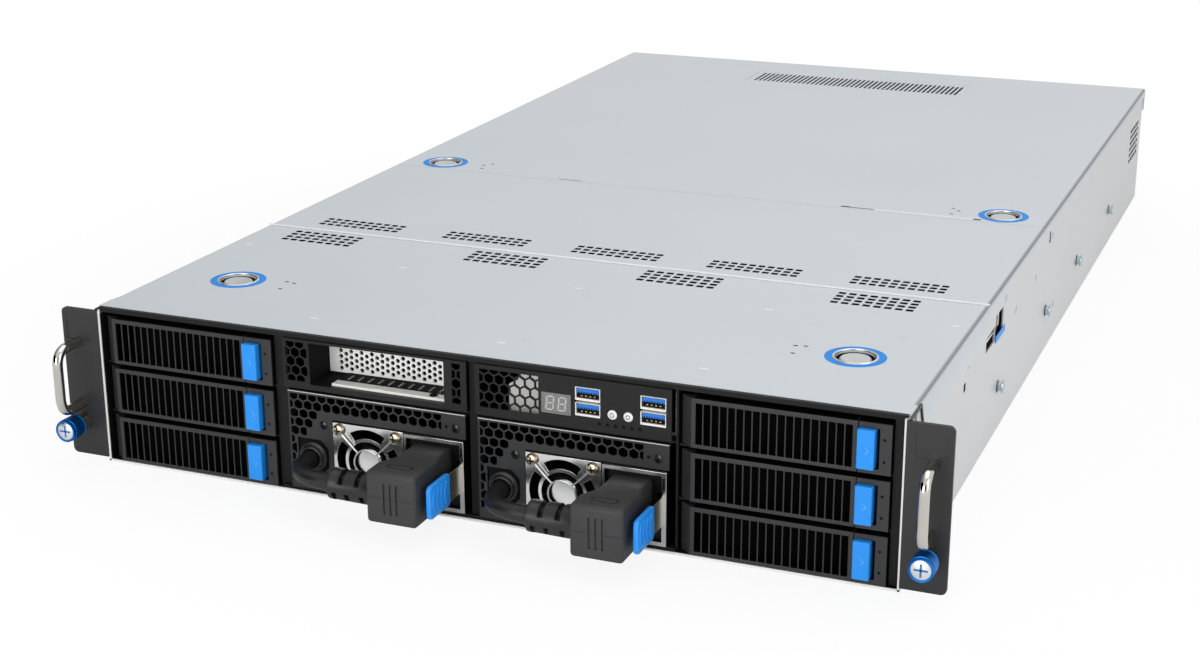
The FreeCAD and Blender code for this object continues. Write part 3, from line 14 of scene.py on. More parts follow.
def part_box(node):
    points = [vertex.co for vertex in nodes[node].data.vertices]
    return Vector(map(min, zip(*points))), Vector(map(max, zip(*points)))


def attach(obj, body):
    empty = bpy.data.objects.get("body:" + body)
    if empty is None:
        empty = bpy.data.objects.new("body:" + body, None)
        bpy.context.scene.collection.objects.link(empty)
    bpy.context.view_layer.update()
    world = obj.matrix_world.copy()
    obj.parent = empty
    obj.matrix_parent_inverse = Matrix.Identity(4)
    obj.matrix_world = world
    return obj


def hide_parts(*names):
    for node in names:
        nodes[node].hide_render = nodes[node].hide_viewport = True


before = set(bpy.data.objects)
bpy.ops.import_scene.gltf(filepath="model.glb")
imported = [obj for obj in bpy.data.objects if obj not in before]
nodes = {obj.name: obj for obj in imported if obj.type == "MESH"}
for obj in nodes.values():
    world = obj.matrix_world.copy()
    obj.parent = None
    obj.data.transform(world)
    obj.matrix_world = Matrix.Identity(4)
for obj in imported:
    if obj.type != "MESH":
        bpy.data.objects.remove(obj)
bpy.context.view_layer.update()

# %% [markdown]
# Everything on a rack server is measured from its front plane, in millimetres: x to the right,
# y into the rack and z up from the floor. Blender wants metres in the frame of the solids, so one
# short function turns the first into the second, and every piece below is written in millimetres.
# Main places, such as this front plane, are read from the solids, so that the pieces follow them.

# %% Millimetres from the front plane


def mm(metres):
    """A length read from the solids, in millimetres to a hundredth."""
    return round(1000 * metres, 2)


tray_low, tray_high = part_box("chassis_tray")
FRONT = -mm(tray_low.y) / 1000


def at(x, y, z):
    return Vector((x / 1000, y / 1000 - FRONT, z / 1000))


print("front plane at", -FRONT, "m")

# %% [markdown]
# The camera looks down at the front right corner. Its three axes are worked out from a yaw, a pitch
# and a small roll, because a tracked camera can't take a roll of its own.

# %% Camera
CAMERA_PLACE = (0.4068, -1.2201, 0.4092)
YAW, PITCH, ROLL = (math.radians(degrees) for degrees in (22.17, 18.35, -0.18))
lens = bpy.data.cameras.new("corner_view")
lens.sensor_width = 36
lens.lens = 59.61
lens.clip_start, lens.clip_end = 0.05, 60
back = Vector((math.sin(YAW) * math.cos(PITCH), -math.cos(YAW) * math.cos(PITCH), math.sin(PITCH)))
level = Vector((0, 0, 1)).cross(back).normalized()
above = back.cross(level)
across = math.cos(ROLL) * level + math.sin(ROLL) * above
upright = math.cos(ROLL) * above - math.sin(ROLL) * level
axes = Matrix((across, upright, back)).transposed().to_4x4()
camera = bpy.data.objects.new("corner_view", lens)
camera.matrix_world = Matrix.Translation(CAMERA_PLACE) @ axes
bpy.context.scene.collection.objects.link(camera)
bpy.context.scene.camera = camera
bpy.context.scene.view_settings.view_transform = "Standard"
print("camera at", tuple(round(v, 3) for v in camera.matrix_world.translation))

# %% [markdown]
# Each power supply gets its mains from a short lead that comes out of the panel through a gland and
# turns back into the supply's own inlet. A cord is one smooth line, so it is a NURBS curve with the
# route's corners as control points. The curve rounds the corner by itself, as a stiff lead does. Both
# supplies are alike, so every piece of the right one is the left one's, moved by their pitch.

# %% Power cords
PSU_PITCH = mm(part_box("psu_case_right")[0].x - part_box("psu_case_left")[0].x)
SIDES = (("left", 0.0), ("right", PSU_PITCH))
CORD_RADIUS = 4.5
CORD_Z = 21.6
ROUTE = [(-69.5, -27), (-91, -27), (-91, 16), (-91, 198)]


def smooth_line(name, points, bevel, rounds, steps, radius=1.0, closed=False):
    """A round rod along a NURBS curve that has the points as its control points."""
    line = bpy.data.curves.new(name, "CURVE")
    line.dimensions = "3D"
    line.bevel_depth = bevel
    line.bevel_resolution = rounds
    line.resolution_u = steps
    line.use_fill_caps = True
    spline = line.splines.new("NURBS")
    spline.points.add(len(points) - 1)
    for point, spot in zip(spline.points, points):
        point.co = (*spot, 1)
        point.radius = radius
    spline.use_cyclic_u = closed
    spline.order_u = 3
    spline.use_endpoint_u = not closed
    return bpy.data.objects.new(name, line)


cords = {}
thick = CORD_RADIUS / 1000
for side, shift in SIDES:
    points = [at(x + shift, y, CORD_Z) for x, y in ROUTE]
    cord = smooth_line("mains_cord_" + side, points, 1.0, rounds=6, steps=24, radius=thick)
    bpy.context.scene.collection.objects.link(cord)
    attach(cord, "psu_" + side)
    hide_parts("power_cord_" + side)
    cords[side] = cord
print("cords:", sorted(cords), "with the supplies", PSU_PITCH, "mm apart")

# %% [markdown]
# A studio has a white floor that runs up into a white wall, and large soft lamps. Here the floor is
# one wide sheet, just under the server, and the lamps are three squares of light. One small lamp in a
# narrow tube reaches into the card slot, which the large lamps leave dark.

# %% Floor and lamps
FLOOR_REACH = 9.0
FLOOR_Z = -0.0006
floor_mesh = bpy.data.meshes.new("studio_floor")
corners = [(-1, -1), (1, -1), (1, 1), (-1, 1)]
floor_mesh.from_pydata([(x * FLOOR_REACH, y * FLOOR_REACH, FLOOR_Z) for x, y in corners], [], [(0, 1, 2, 3)])
floor = bpy.data.objects.new("studio_floor", floor_mesh)
bpy.context.scene.collection.objects.link(floor)

LAMPS = {
    "top_softbox": ((0.5, 0.2, 2.7), (0.1, 0.05, 0.0), 2.6, 22),
    "side_softbox": ((1.9, -1.0, 0.75), (0.22, -0.15, 0.05), 1.5, 11.5),
    "front_softbox": ((-0.3, -2.8, 0.5), (-0.05, -0.38, 0.05), 1.6, 32),
}


def hang(lamp, place, target):
    """Puts a lamp in its place and turns it to its target."""
    stand = bpy.data.objects.new(lamp.name, lamp)
    stand.location = place
    stand.rotation_euler = (Vector(target) - Vector(place)).to_track_quat("-Z", "Y").to_euler()
    bpy.context.scene.collection.objects.link(stand)


for name, (place, target, width, power) in LAMPS.items():
    lamp = bpy.data.lights.new(name, "AREA")
    lamp.shape = "SQUARE"
    lamp.size = width
    lamp.energy = power
    hang(lamp, place, target)
snoot = bpy.data.lights.new("slot_snoot", "SPOT")
snoot.energy = 7.0
snoot.shadow_soft_size = 0.01
snoot.spot_size = math.radians(3.0)
snoot.spot_blend = 0.5
hang(snoot, (-0.047, -1.9, 0.12), at(-46.5, 20, 72))
print("lamps:", ", ".join(LAMPS), "and", snoot.name)

# %% [markdown]
# A finish is a small graph of shader nodes. Writing it as sums reads better than a list of links, so
# one class wraps a socket: adding or multiplying two strands adds a Math node, and one method adds any
# other kind of node, its settings first and its sockets after them.

# %% Strands of a finish


class Strand:
    """One socket of a finish. Arithmetic adds Math nodes; node() adds any other node."""

    def __init__(self, tree, socket=None):
        self.tree = tree
        self.socket = socket

    def node(self, kind, settings=None, inputs=None, out=0):
        made = self.tree.nodes.new(kind)
        for key, value in (settings or {}).items():
            setattr(made, key, value)
        self.feed(made, inputs or {})
        return Strand(self.tree, made.outputs[out])

    def feed(self, made, inputs):
        for key, value in inputs.items():
            if isinstance(value, Strand):
                self.tree.links.new(value.socket, made.inputs[key])
            else:
                made.inputs[key].default_value = value

    def sum(self, operation, first, second):
        return self.node("ShaderNodeMath", {"operation": operation}, {0: first, 1: second})

    def __add__(self, other):
        return self.sum("ADD", self, other)

    def __radd__(self, other):
        return self.sum("ADD", other, self)

    def __sub__(self, other):
        return self.sum("SUBTRACT", self, other)

    def __rsub__(self, other):
        return self.sum("SUBTRACT", other, self)

    def __mul__(self, other):
        return self.sum("MULTIPLY", self, other)

    def __rmul__(self, other):
        return self.sum("MULTIPLY", other, self)

    def __gt__(self, other):
        return self.sum("GREATER_THAN", self, other)

    def __lt__(self, other):
        return self.sum("LESS_THAN", self, other)

    def __abs__(self):
        return self.node("ShaderNodeMath", {"operation": "ABSOLUTE"}, {0: self})

    def place(self):
        """Where a point lies on its piece, in metres."""
        return self.node("ShaderNodeTexCoord", out="Object")

    def split(self, axes):
        """Those of a vector's three numbers that the axes name."""
        return [self.node("ShaderNodeSeparateXYZ", None, {0: self}, axis) for axis in axes]

    def fade(self, low, high):
        """Nought at low and one at high, with soft ends."""
        ends = {"Value": self, "From Min": low, "From Max": high}
        return self.node("ShaderNodeMapRange", {"interpolation_type": "SMOOTHSTEP"}, ends)

    def noise(self, scale, detail=3.0, stretch=(1, 1, 1), rough=0.5):
        """A cloud between 0 and 1, with its grains drawn out where stretch is small."""
        drawn = {"Vector": self.place(), "Scale": stretch}
        vector = self.node("ShaderNodeMapping", {"vector_type": "POINT"}, drawn)
        inputs = {"Vector": vector, "Scale": scale, "Detail": detail, "Roughness": rough}
        return self.node("ShaderNodeTexNoise", {"noise_dimensions": "3D"}, inputs)

    def tint(self, share, first, second):
        """A colour between two others."""
        inputs = {0: share, 6: first, 7: second}
        return self.node("ShaderNodeMix", {"data_type": "RGBA", "clamp_factor": True}, inputs, 2)

    def bump(self, height, strength, distance):
        inputs = {"Height": height, "Strength": strength, "Distance": distance}
        return self.node("ShaderNodeBump", None, inputs)


print("strand methods:", [name for name in vars(Strand) if not name.startswith("_")])

# %% [markdown]
# A Principled shader takes most of its values as plain numbers, the same all over a surface. Those are
# set on its sockets when a finish is begun, and only what varies over the surface is linked to it later.

# %% Begin a finish


def rgb(red, green, blue):
    return (red, green, blue, 1.0)


def new_finish(name, **plain):
    """A material, the strand that starts its graph, and its shader with plain values set."""
    made = bpy.data.materials.new(name)
    made.use_nodes = True
    shader = made.node_tree.nodes["Principled BSDF"]
    for key, value in plain.items():
        shader.inputs[key.replace("_", " ")].default_value = value
    return made, Strand(made.node_tree), shader


BLACK, PURE_WHITE = rgb(0, 0, 0), rgb(1, 1, 1)
print("colours go from", BLACK, "to", PURE_WHITE)

# %% [markdown]
# The floor is matt white. It keeps the server's shadow and turns plain white to the camera further
# out, where its own colour gives way to a glow.

# %% Floor finish
FLOOR_GLOW = 0.85
floor_paint, start, shader = new_finish(
    "floor_paint", Roughness=0.9, Specular_IOR_Level=0.1, Emission_Strength=1.0,
)
distance = start.node("ShaderNodeVectorMath", {"operation": "LENGTH"}, {0: start.place()}, "Value")
seen = start.node("ShaderNodeLightPath", out="Is Camera Ray")
glow = seen * (FLOOR_GLOW + (1.0 - FLOOR_GLOW) * distance.fade(0.32, 0.66))
paint = start.tint(start.noise(0.8, 2), rgb(0.93, 0.935, 0.94), rgb(0.96, 0.96, 0.96))
start.feed(shader, {
    "Base Color": start.tint(glow, paint, BLACK),
    "Emission Color": start.tint(glow, BLACK, PURE_WHITE),
})
floor_mesh.materials.append(floor_paint)
print("floor finish:", floor_paint.name)

# %% [markdown]
# The world is white to the camera and to glass, nearly so in mirrors, and dimmer where it only lights,
# so that a painted colour comes out about as it is written. The left wall of the room is darker in
# mirrors, which gives the steel its gradient, and so is a strip of the front wall, which gives bright
# metal the dark bands of a real studio.

# %% World
WORLD_LEVEL = 0.5
MIRROR_LEVEL = 0.85
world = bpy.data.worlds.new("white_room")
world.use_nodes = True
bpy.context.scene.world = world
air = Strand(world.node_tree)
rays = ("Is Camera Ray", "Is Transmission Ray", "Is Glossy Ray")
looked_at, through_glass, mirrored = (air.node("ShaderNodeLightPath", out=ray) for ray in rays)
east, north, height = air.node("ShaderNodeTexCoord", out="Generated").split("XYZ")
dim_wall = 0.55 * east.fade(-0.35, -0.75)
dark_front = 0.75 * north.fade(-0.15, -0.45) * height.fade(0.0, 0.08) * height.fade(0.6, 0.42)
seen_share = (1.0 - WORLD_LEVEL) * (looked_at + through_glass)
mirror_share = (MIRROR_LEVEL - WORLD_LEVEL - dim_wall - dark_front) * mirrored
strength = WORLD_LEVEL + seen_share + mirror_share
air.feed(world.node_tree.nodes["Background"], {"Color": PURE_WHITE, "Strength": strength})
print("world level:", WORLD_LEVEL)

# %% [markdown]
# The covers and walls are cold rolled steel with a thin zinc coat. Real sheet is never even: the zinc
# has faint clouds, the rolls leave a fine grain along the sheet, and hands leave duller patches. All
# three are noise at different scales, and they feed the colour, the roughness and a very low bump. The
# finish is painted near black inside the vent slots, as the shade in those narrow slots, and where the
# sheet is bent down at its edge a darker band is painted in, as the shade and dark reflection of the bend.

# %% Sheet steel


def within(start, x, y, z):
    """One inside a box given in millimetres, with x the same on both sides, and nought outside it."""
    east, deep, high = start.place().split("XYZ")
    out = abs(east)
    low, top = at(x[0], y[0], z[0]), at(x[1], y[1], z[1])
    share = (out > low.x) * (out < top.x)
    return share * (deep > low.y) * (deep < top.y) * (high > low.z) * (high < top.z)


def sheet_steel(name, dark, light, rough, metal, grain, vents=None, pit=0.012, shaded_bends=False):
    made, start, shader = new_finish(name, Metallic=metal)
    cloud = start.noise(5.5, 4, rough=0.6)
    rolled = start.noise(900, 3, stretch=(0.04, 1, 1))
    smudge = start.noise(22, 5, rough=0.65)
    colour = start.tint(0.7 * cloud + 0.3 * rolled, dark, light)
    # Painted shade and dark reflection: a darker band where the sheet bends down.
    if shaded_bends:
        side, up = start.node("ShaderNodeNewGeometry", out="Normal").split("XZ")
        colour = start.tint(abs(2.0 * side * up), colour, rgb(0.24, 0.25, 0.265))
    # Painted shade: near black inside the vent slots.
    if vents:
        colour = start.tint(within(start, *vents), colour, rgb(pit, pit, 1.04 * pit))
    start.feed(shader, {
        "Base Color": colour,
        "Roughness": (rough - 0.07) + 0.10 * smudge + 0.05 * rolled,
        "Normal": start.bump(rolled, grain, 0.00004),
    })
    return made


WALL_LOOK = (rgb(0.62, 0.63, 0.635), rgb(0.73, 0.735, 0.74), 0.40, 0.48, 0.14)
WALL = sheet_steel("zinc_walls", *WALL_LOOK, vents=((0, 218.9), (723, 768), (39, 68)))
print("wall finish:", WALL.name)

# %% [markdown]
# The covers are the same sheet, only duller and a little bluer, and each has painted shade inside the
# vents of one band across it. The rear cover's narrow slots look paler than the others, so its painted
# shade is less dark.

# %% Cover steel
LID_LOOK = (rgb(0.62, 0.665, 0.70), rgb(0.71, 0.745, 0.775), 0.48, 0.32, 0.10)


def lid_steel(name, half_width, y, top, pit=0.012):
    """A cover's steel, with painted shade inside the vents of one band across it."""
    return sheet_steel(name, *LID_LOOK, vents=((0, half_width), y, (0, top)), pit=pit, shaded_bends=True)


FRONT_LID = lid_steel("zinc_front_cover", 212, (150, 174.5), 87.45)
MID_LID = lid_steel("zinc_mid_cover", 212, (187.5, 204.5), 87.45)
REAR_LID = lid_steel("zinc_rear_cover", 86, (709.5, 742.5), 86.95, pit=0.2)
print("cover finishes:", FRONT_LID.name, MID_LID.name, REAR_LID.name)

# %% [markdown]
# The smaller steel pieces are the same graph again. They differ in how pale, how rough and how bare they
# are, from white brackets to polished steel whose colour is painted near black as shade and dark
# reflection, and the supply's case has painted shade in front, round its fan, deep behind the panel.

# %% Steel of the small pieces
BRIGHT = sheet_steel("bright_steel", rgb(0.66, 0.655, 0.64), rgb(0.80, 0.79, 0.77), 0.30, 0.85, 0.12)
# Paler than the zinc: painted highlight on folds and lances.
HIGHLIGHT_FOLD = sheet_steel("folded_edge_highlight", rgb(0.86, 0.88, 0.90), rgb(0.95, 0.96, 0.97), 0.40, 0.10, 0.10)
BRACKET = sheet_steel("slot_bracket", rgb(0.93, 0.93, 0.92), rgb(0.98, 0.98, 0.97), 0.45, 0.05, 0.08)
CREAM = sheet_steel("bracket_steel", rgb(0.84, 0.82, 0.77), rgb(0.93, 0.91, 0.87), 0.45, 0.10, 0.10)
SATIN = sheet_steel("satin_disc", rgb(0.56, 0.57, 0.57), rgb(0.70, 0.705, 0.70), 0.34, 0.8, 0.25)
# Polished steel with its colour painted near black, as shade and dark reflection.
SHADED_POLISH = sheet_steel(
    "polished_steel_painted_dark", rgb(0.036, 0.035, 0.034), rgb(0.055, 0.054, 0.052), 0.16, 1.0, 0.05,
)
PLATE = sheet_steel("fan_plate_steel", rgb(0.74, 0.745, 0.74), rgb(0.88, 0.885, 0.88), 0.19, 1.0, 0.10)
# Painted shade on the front of the supply case, deep behind the panel.
CASE = sheet_steel("supply_case", *WALL_LOOK, vents=((0, 300), (-60, 45), (0, 90)), pit=0.004)
print("small steel finishes:", BRIGHT.name, HIGHLIGHT_FOLD.name, BRACKET.name, CREAM.name, SATIN.name, PLATE.name)

# %% [markdown]
# The front is black, but in three ways: powder coat on steel has the skin of an orange, moulded
# plastic has a fine spark-eroded grain, and rubber is duller with soft mottling. Each is the same
# graph with other scales, so one function makes them all and the numbers tell them apart.

# %% Black coats, plastics and rubber


def moulded(name, dark, light, rough, grain_scale, grain, **plain):
    made, start, shader = new_finish(name, **plain)
    patch = start.noise(9, 4, rough=0.6)
    skin = start.noise(grain_scale, 2)
    dust = start.noise(140, 6, rough=0.7)
    start.feed(shader, {
        "Base Color": start.tint(0.65 * patch + 0.35 * dust, dark, light),
        "Roughness": (rough - 0.06) + 0.08 * patch + 0.06 * skin,
        "Normal": start.bump(skin, grain, 0.00006),
    })
    return made


POWDER = moulded("powder_black", rgb(0.015, 0.015, 0.0156), rgb(0.023, 0.023, 0.0236), 0.44, 1900, 0.26)
BEZEL = moulded("bezel_black", rgb(0.022, 0.022, 0.0226), rgb(0.033, 0.033, 0.034), 0.48, 2600, 0.20)
FRAME = moulded(
    "frame_black", rgb(0.0055, 0.0055, 0.0058), rgb(0.0095, 0.0095, 0.0098), 0.46, 1900, 0.22,
    Specular_IOR_Level=0.22,
)
PANEL = moulded(
    "panel_black", rgb(0.009, 0.009, 0.0094), rgb(0.015, 0.015, 0.0155), 0.44, 1900, 0.26,
    Specular_IOR_Level=0.25,
)
# Near black, for dark parts and also laid as painted shade in holes, gaps and recesses.
BLACK_AND_SHADE = moulded(
    "black_and_painted_shade", rgb(0.003, 0.003, 0.0032), rgb(0.006, 0.006, 0.0062), 0.72, 1500, 0.10,
    Specular_IOR_Level=0.12,
)
RUBBER = moulded("plug_rubber", rgb(0.024, 0.024, 0.025), rgb(0.037, 0.037, 0.038), 0.50, 1300, 0.25)
CORD = moulded("cord_jacket", rgb(0.008, 0.008, 0.0082), rgb(0.013, 0.013, 0.0133), 0.38, 1300, 0.15)
print("black finishes:", POWDER.name, BEZEL.name, FRAME.name, PANEL.name, BLACK_AND_SHADE.name, RUBBER.name, CORD.name)

# %% [markdown]
# The few coloured plastics are moulded as well: greys for the display, white for two buttons and a
# clip, and blues for the tongues of the ports and for everything that a hand may touch.

# %% Coloured plastics
DIGIT = moulded("digit_grey", rgb(0.52, 0.51, 0.48), rgb(0.61, 0.60, 0.56), 0.40, 1500, 0.05)
GREY = moulded("display_grey", rgb(0.18, 0.18, 0.18), rgb(0.225, 0.225, 0.22), 0.40, 1500, 0.08)
WHITE = moulded("button_white", rgb(0.78, 0.79, 0.79), rgb(0.87, 0.87, 0.86), 0.32, 1500, 0.08)
AZURE = moulded(
    "azure_plastic", rgb(0.014, 0.27, 0.84), rgb(0.024, 0.32, 0.92), 0.40, 2400, 0.14,
    Specular_IOR_Level=0.35,
)
PALE_BLUE = moulded("mark_blue", rgb(0.10, 0.40, 0.90), rgb(0.14, 0.46, 0.95), 0.40, 1200, 0.05)
DEEP_BLUE = moulded("latch_blue", rgb(0.022, 0.13, 0.42), rgb(0.035, 0.18, 0.52), 0.38, 2200, 0.14)
RING_BLUE = moulded(
    "ring_blue", rgb(0.016, 0.27, 0.80), rgb(0.026, 0.31, 0.87), 0.45, 1200, 0.05, Specular_IOR_Level=0.12,
)
TONGUE_BLUE = moulded("port_blue", rgb(0.010, 0.15, 0.58), rgb(0.015, 0.19, 0.68), 0.40, 1500, 0.05)
print("coloured plastics:", DIGIT.name, GREY.name, WHITE.name, AZURE.name, DEEP_BLUE.name)

# %% [markdown]
# Plated pieces show the studio in them, so they are full metal with a low, slightly uneven
# roughness: chrome on the handles, blue anodising on the thumb screws, brass on the fan screws.

# %% Plated metal


def plated(name, dark, light, rough):
    made, start, shader = new_finish(name, Metallic=1.0)
    cloud = start.noise(60, 4, rough=0.6)
    wipe = start.noise(700, 3, stretch=(1, 1, 0.05))
    start.feed(shader, {
        "Base Color": start.tint(cloud, dark, light),
        "Roughness": rough + 0.06 * cloud + 0.03 * wipe,
        "Normal": start.bump(wipe, 0.05, 0.00003),
    })
    return made


CHROME = plated("handle_chrome", rgb(0.56, 0.54, 0.49), rgb(0.68, 0.66, 0.61), 0.08)
ANODISED = plated("anodised_blue", rgb(0.006, 0.14, 0.50), rgb(0.010, 0.20, 0.62), 0.28)
BRASS = plated("brass_screw", rgb(0.56, 0.48, 0.33), rgb(0.70, 0.62, 0.46), 0.24)
STUD = plated("stud_nickel", rgb(0.42, 0.50, 0.55), rgb(0.58, 0.66, 0.70), 0.14)
SILVER = plated("silver_face", rgb(0.78, 0.78, 0.77), rgb(0.90, 0.90, 0.89), 0.30)
TONGUE = plated("tongue_steel", rgb(0.62, 0.58, 0.50), rgb(0.74, 0.70, 0.62), 0.30)
BLACK_SCREW = plated("black_screw", rgb(0.035, 0.035, 0.036), rgb(0.07, 0.07, 0.072), 0.25)
GOLD = plated("contact_gold", rgb(0.66, 0.46, 0.16), rgb(0.80, 0.60, 0.26), 0.22)
print("plated finishes:", CHROME.name, ANODISED.name, BRASS.name, SILVER.name, GOLD.name)

# %% [markdown]
# Under the covers are green boards with aluminium heat sinks on them. The solid is one node, so its
# finish changes with height: everything below the top of the board is green lacquer with a faint
# pattern of tracks, and what stands higher is milled aluminium.

# %% Boards
BOARD_TOP = 0.0092
BOARD, start, shader = new_finish("board_lacquer")
tall = start.place().split("Z")[0] > BOARD_TOP
tracks = start.node(
    "ShaderNodeTexBrick", {"offset": 0.37, "squash": 0.6},
    {"Vector": start.place(), "Scale": 130.0, "Mortar Size": 0.03}, "Fac",
)
lacquer = start.tint(tracks, rgb(0.012, 0.095, 0.045), rgb(0.03, 0.17, 0.08))
milled = start.tint(start.noise(500, 3, stretch=(1, 0.05, 1)), rgb(0.5, 0.5, 0.5), rgb(0.66, 0.66, 0.66))
start.feed(shader, {
    "Base Color": start.tint(tall, lacquer, milled),
    "Metallic": 0.85 * tall,
    "Roughness": 0.38 + 0.1 * start.noise(40, 3),
})
print("board finish:", BOARD.name)

# %% [markdown]
# A drive carrier and its lever are black plastic in front, and behind that their finish is painted near
# black as the shade inside the bays, which the grille's slots look into. Each solid is one node again, so
# its finish changes just behind the front plane, and
# on a lever only along the grille, because the bevel at its hinge end is as pale as its face. Where
# each bay begins is read from its lever.

# %% Carriers and levers
FAR_OFF = 1000
GRILLE = (7.5, 86.2)
BAYS = {}
for k in range(1, 7):
    lever_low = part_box("carrier_lever_%d" % k)[0]
    BAYS[k] = (mm(lever_low.x), mm(lever_low.z))


def black_with_painted_shade(name, y, x=(-FAR_OFF, FAR_OFF)):
    """Bezel black, but painted shade, near black, between two depths and two places along the front."""
    made, start, shader = new_finish(name, Roughness=0.5)
    along, depth = start.place().split("XY")
    low, high = at(x[0], y[0], 0), at(x[1], y[1], 0)
    inside = (depth > low.y) * (depth < high.y) * (along > low.x) * (along < high.x)
    face = start.tint(start.noise(9, 4), rgb(0.019, 0.019, 0.0195), rgb(0.029, 0.029, 0.030))
    grain = start.bump(start.noise(2600, 2), 0.2, 0.00006)
    start.feed(shader, {"Base Color": face, "Normal": grain})
    # Painted shade: near black and dull, for the inside of the bays.
    dark = start.tint(start.noise(9, 4), rgb(0.0016, 0.0016, 0.0017), rgb(0.0026, 0.0026, 0.0027))
    dull = {"Base Color": dark, "Roughness": 0.9, "Specular IOR Level": 0.06}
    shade_bsdf = start.node("ShaderNodeBsdfPrincipled", None, dull, "BSDF")
    bright = Strand(start.tree, shader.outputs["BSDF"])
    both = start.node("ShaderNodeMixShader", None, {0: inside, 1: bright, 2: shade_bsdf})
    start.feed(made.node_tree.nodes["Material Output"], {"Surface": both})
    return made


def lever_finish(left):
    return black_with_painted_shade("lever_black_and_shade", (0.4, FAR_OFF), [left + end for end in GRILLE])


CARRIER = black_with_painted_shade("carrier_black", (1, 16))
print("carrier finish:", CARRIER.name, "in", len(BAYS), "bays")

# %% [markdown]
# A solid whose shape is right keeps its mesh and only changes its finish. Sheet edges and moulded
# edges are never knife sharp, so some solids also get two modifiers: one welds the mesh's seams, and the
# next bevels its edges by a few tenths of a millimetre, which is what catches the light.

# %% Dress the solids


def ease(piece, edge, segments, angle):
    """Rounds a piece's edges by some tenths of a millimetre."""
    bevel = piece.modifiers.new("eased_edges", "BEVEL")
    bevel.width = edge / 1000
    bevel.segments = segments
    bevel.limit_method = "ANGLE"
    bevel.angle_limit = math.radians(angle)


def dress(finish, *names, edge=0.0):
    for name in names:
        solid = nodes[name]
        for slot in solid.material_slots:
            slot.material = finish
        if edge:
            weld = solid.modifiers.new("weld_seams", "WELD")
            weld.merge_threshold = 0.00002
            ease(solid, edge, segments=2, angle=40)


dress(WALL, "chassis_tray", edge=0.25)
dress(FRAME, "front_frame", edge=0.2)
dress(PANEL, "slot_panel", "control_panel", edge=0.2)
dress(POWDER, "rack_ears", edge=0.2)
for column in ((1, 2, 3), (4, 5, 6)):
    dress(lever_finish(BAYS[column[0]][0]), *["carrier_lever_%d" % k for k in column], edge=0.3)
dress(CARRIER, *["drive_carrier_%d" % k for k in BAYS], edge=0.25)
dress(CASE, "psu_case_left", "psu_case_right")
dress(BLACK_AND_SHADE, "psu_rotor_left", "psu_rotor_right")
dress(POWDER, "gpu_cards", edge=0.4)
dress(POWDER, "fan_cage", *["fan_rotor_%d" % k for k in range(1, 5)])
dress(BOARD, "circuit_boards")
for cord in cords.values():
    cord.data.materials.append(CORD)
print("dressed solids with", WALL.name, FRAME.name, PANEL.name, POWDER.name, CARRIER.name)

# %% [markdown]
# Most small pieces are sheets with holes, turned rounds and short bars. One helper collects such
# shapes in a single mesh, in millimetres, and remembers the finish of each face. A sheet with holes is
# filled between its outlines and then thickened, so its holes are real ones.

# %% Blanks in millimetres
PLANES = {
    "front": lambda u, v, w: (u, w, v),
    "top": lambda u, v, w: (u, v, w),
    "side": lambda u, v, w: (w, u, v),
}


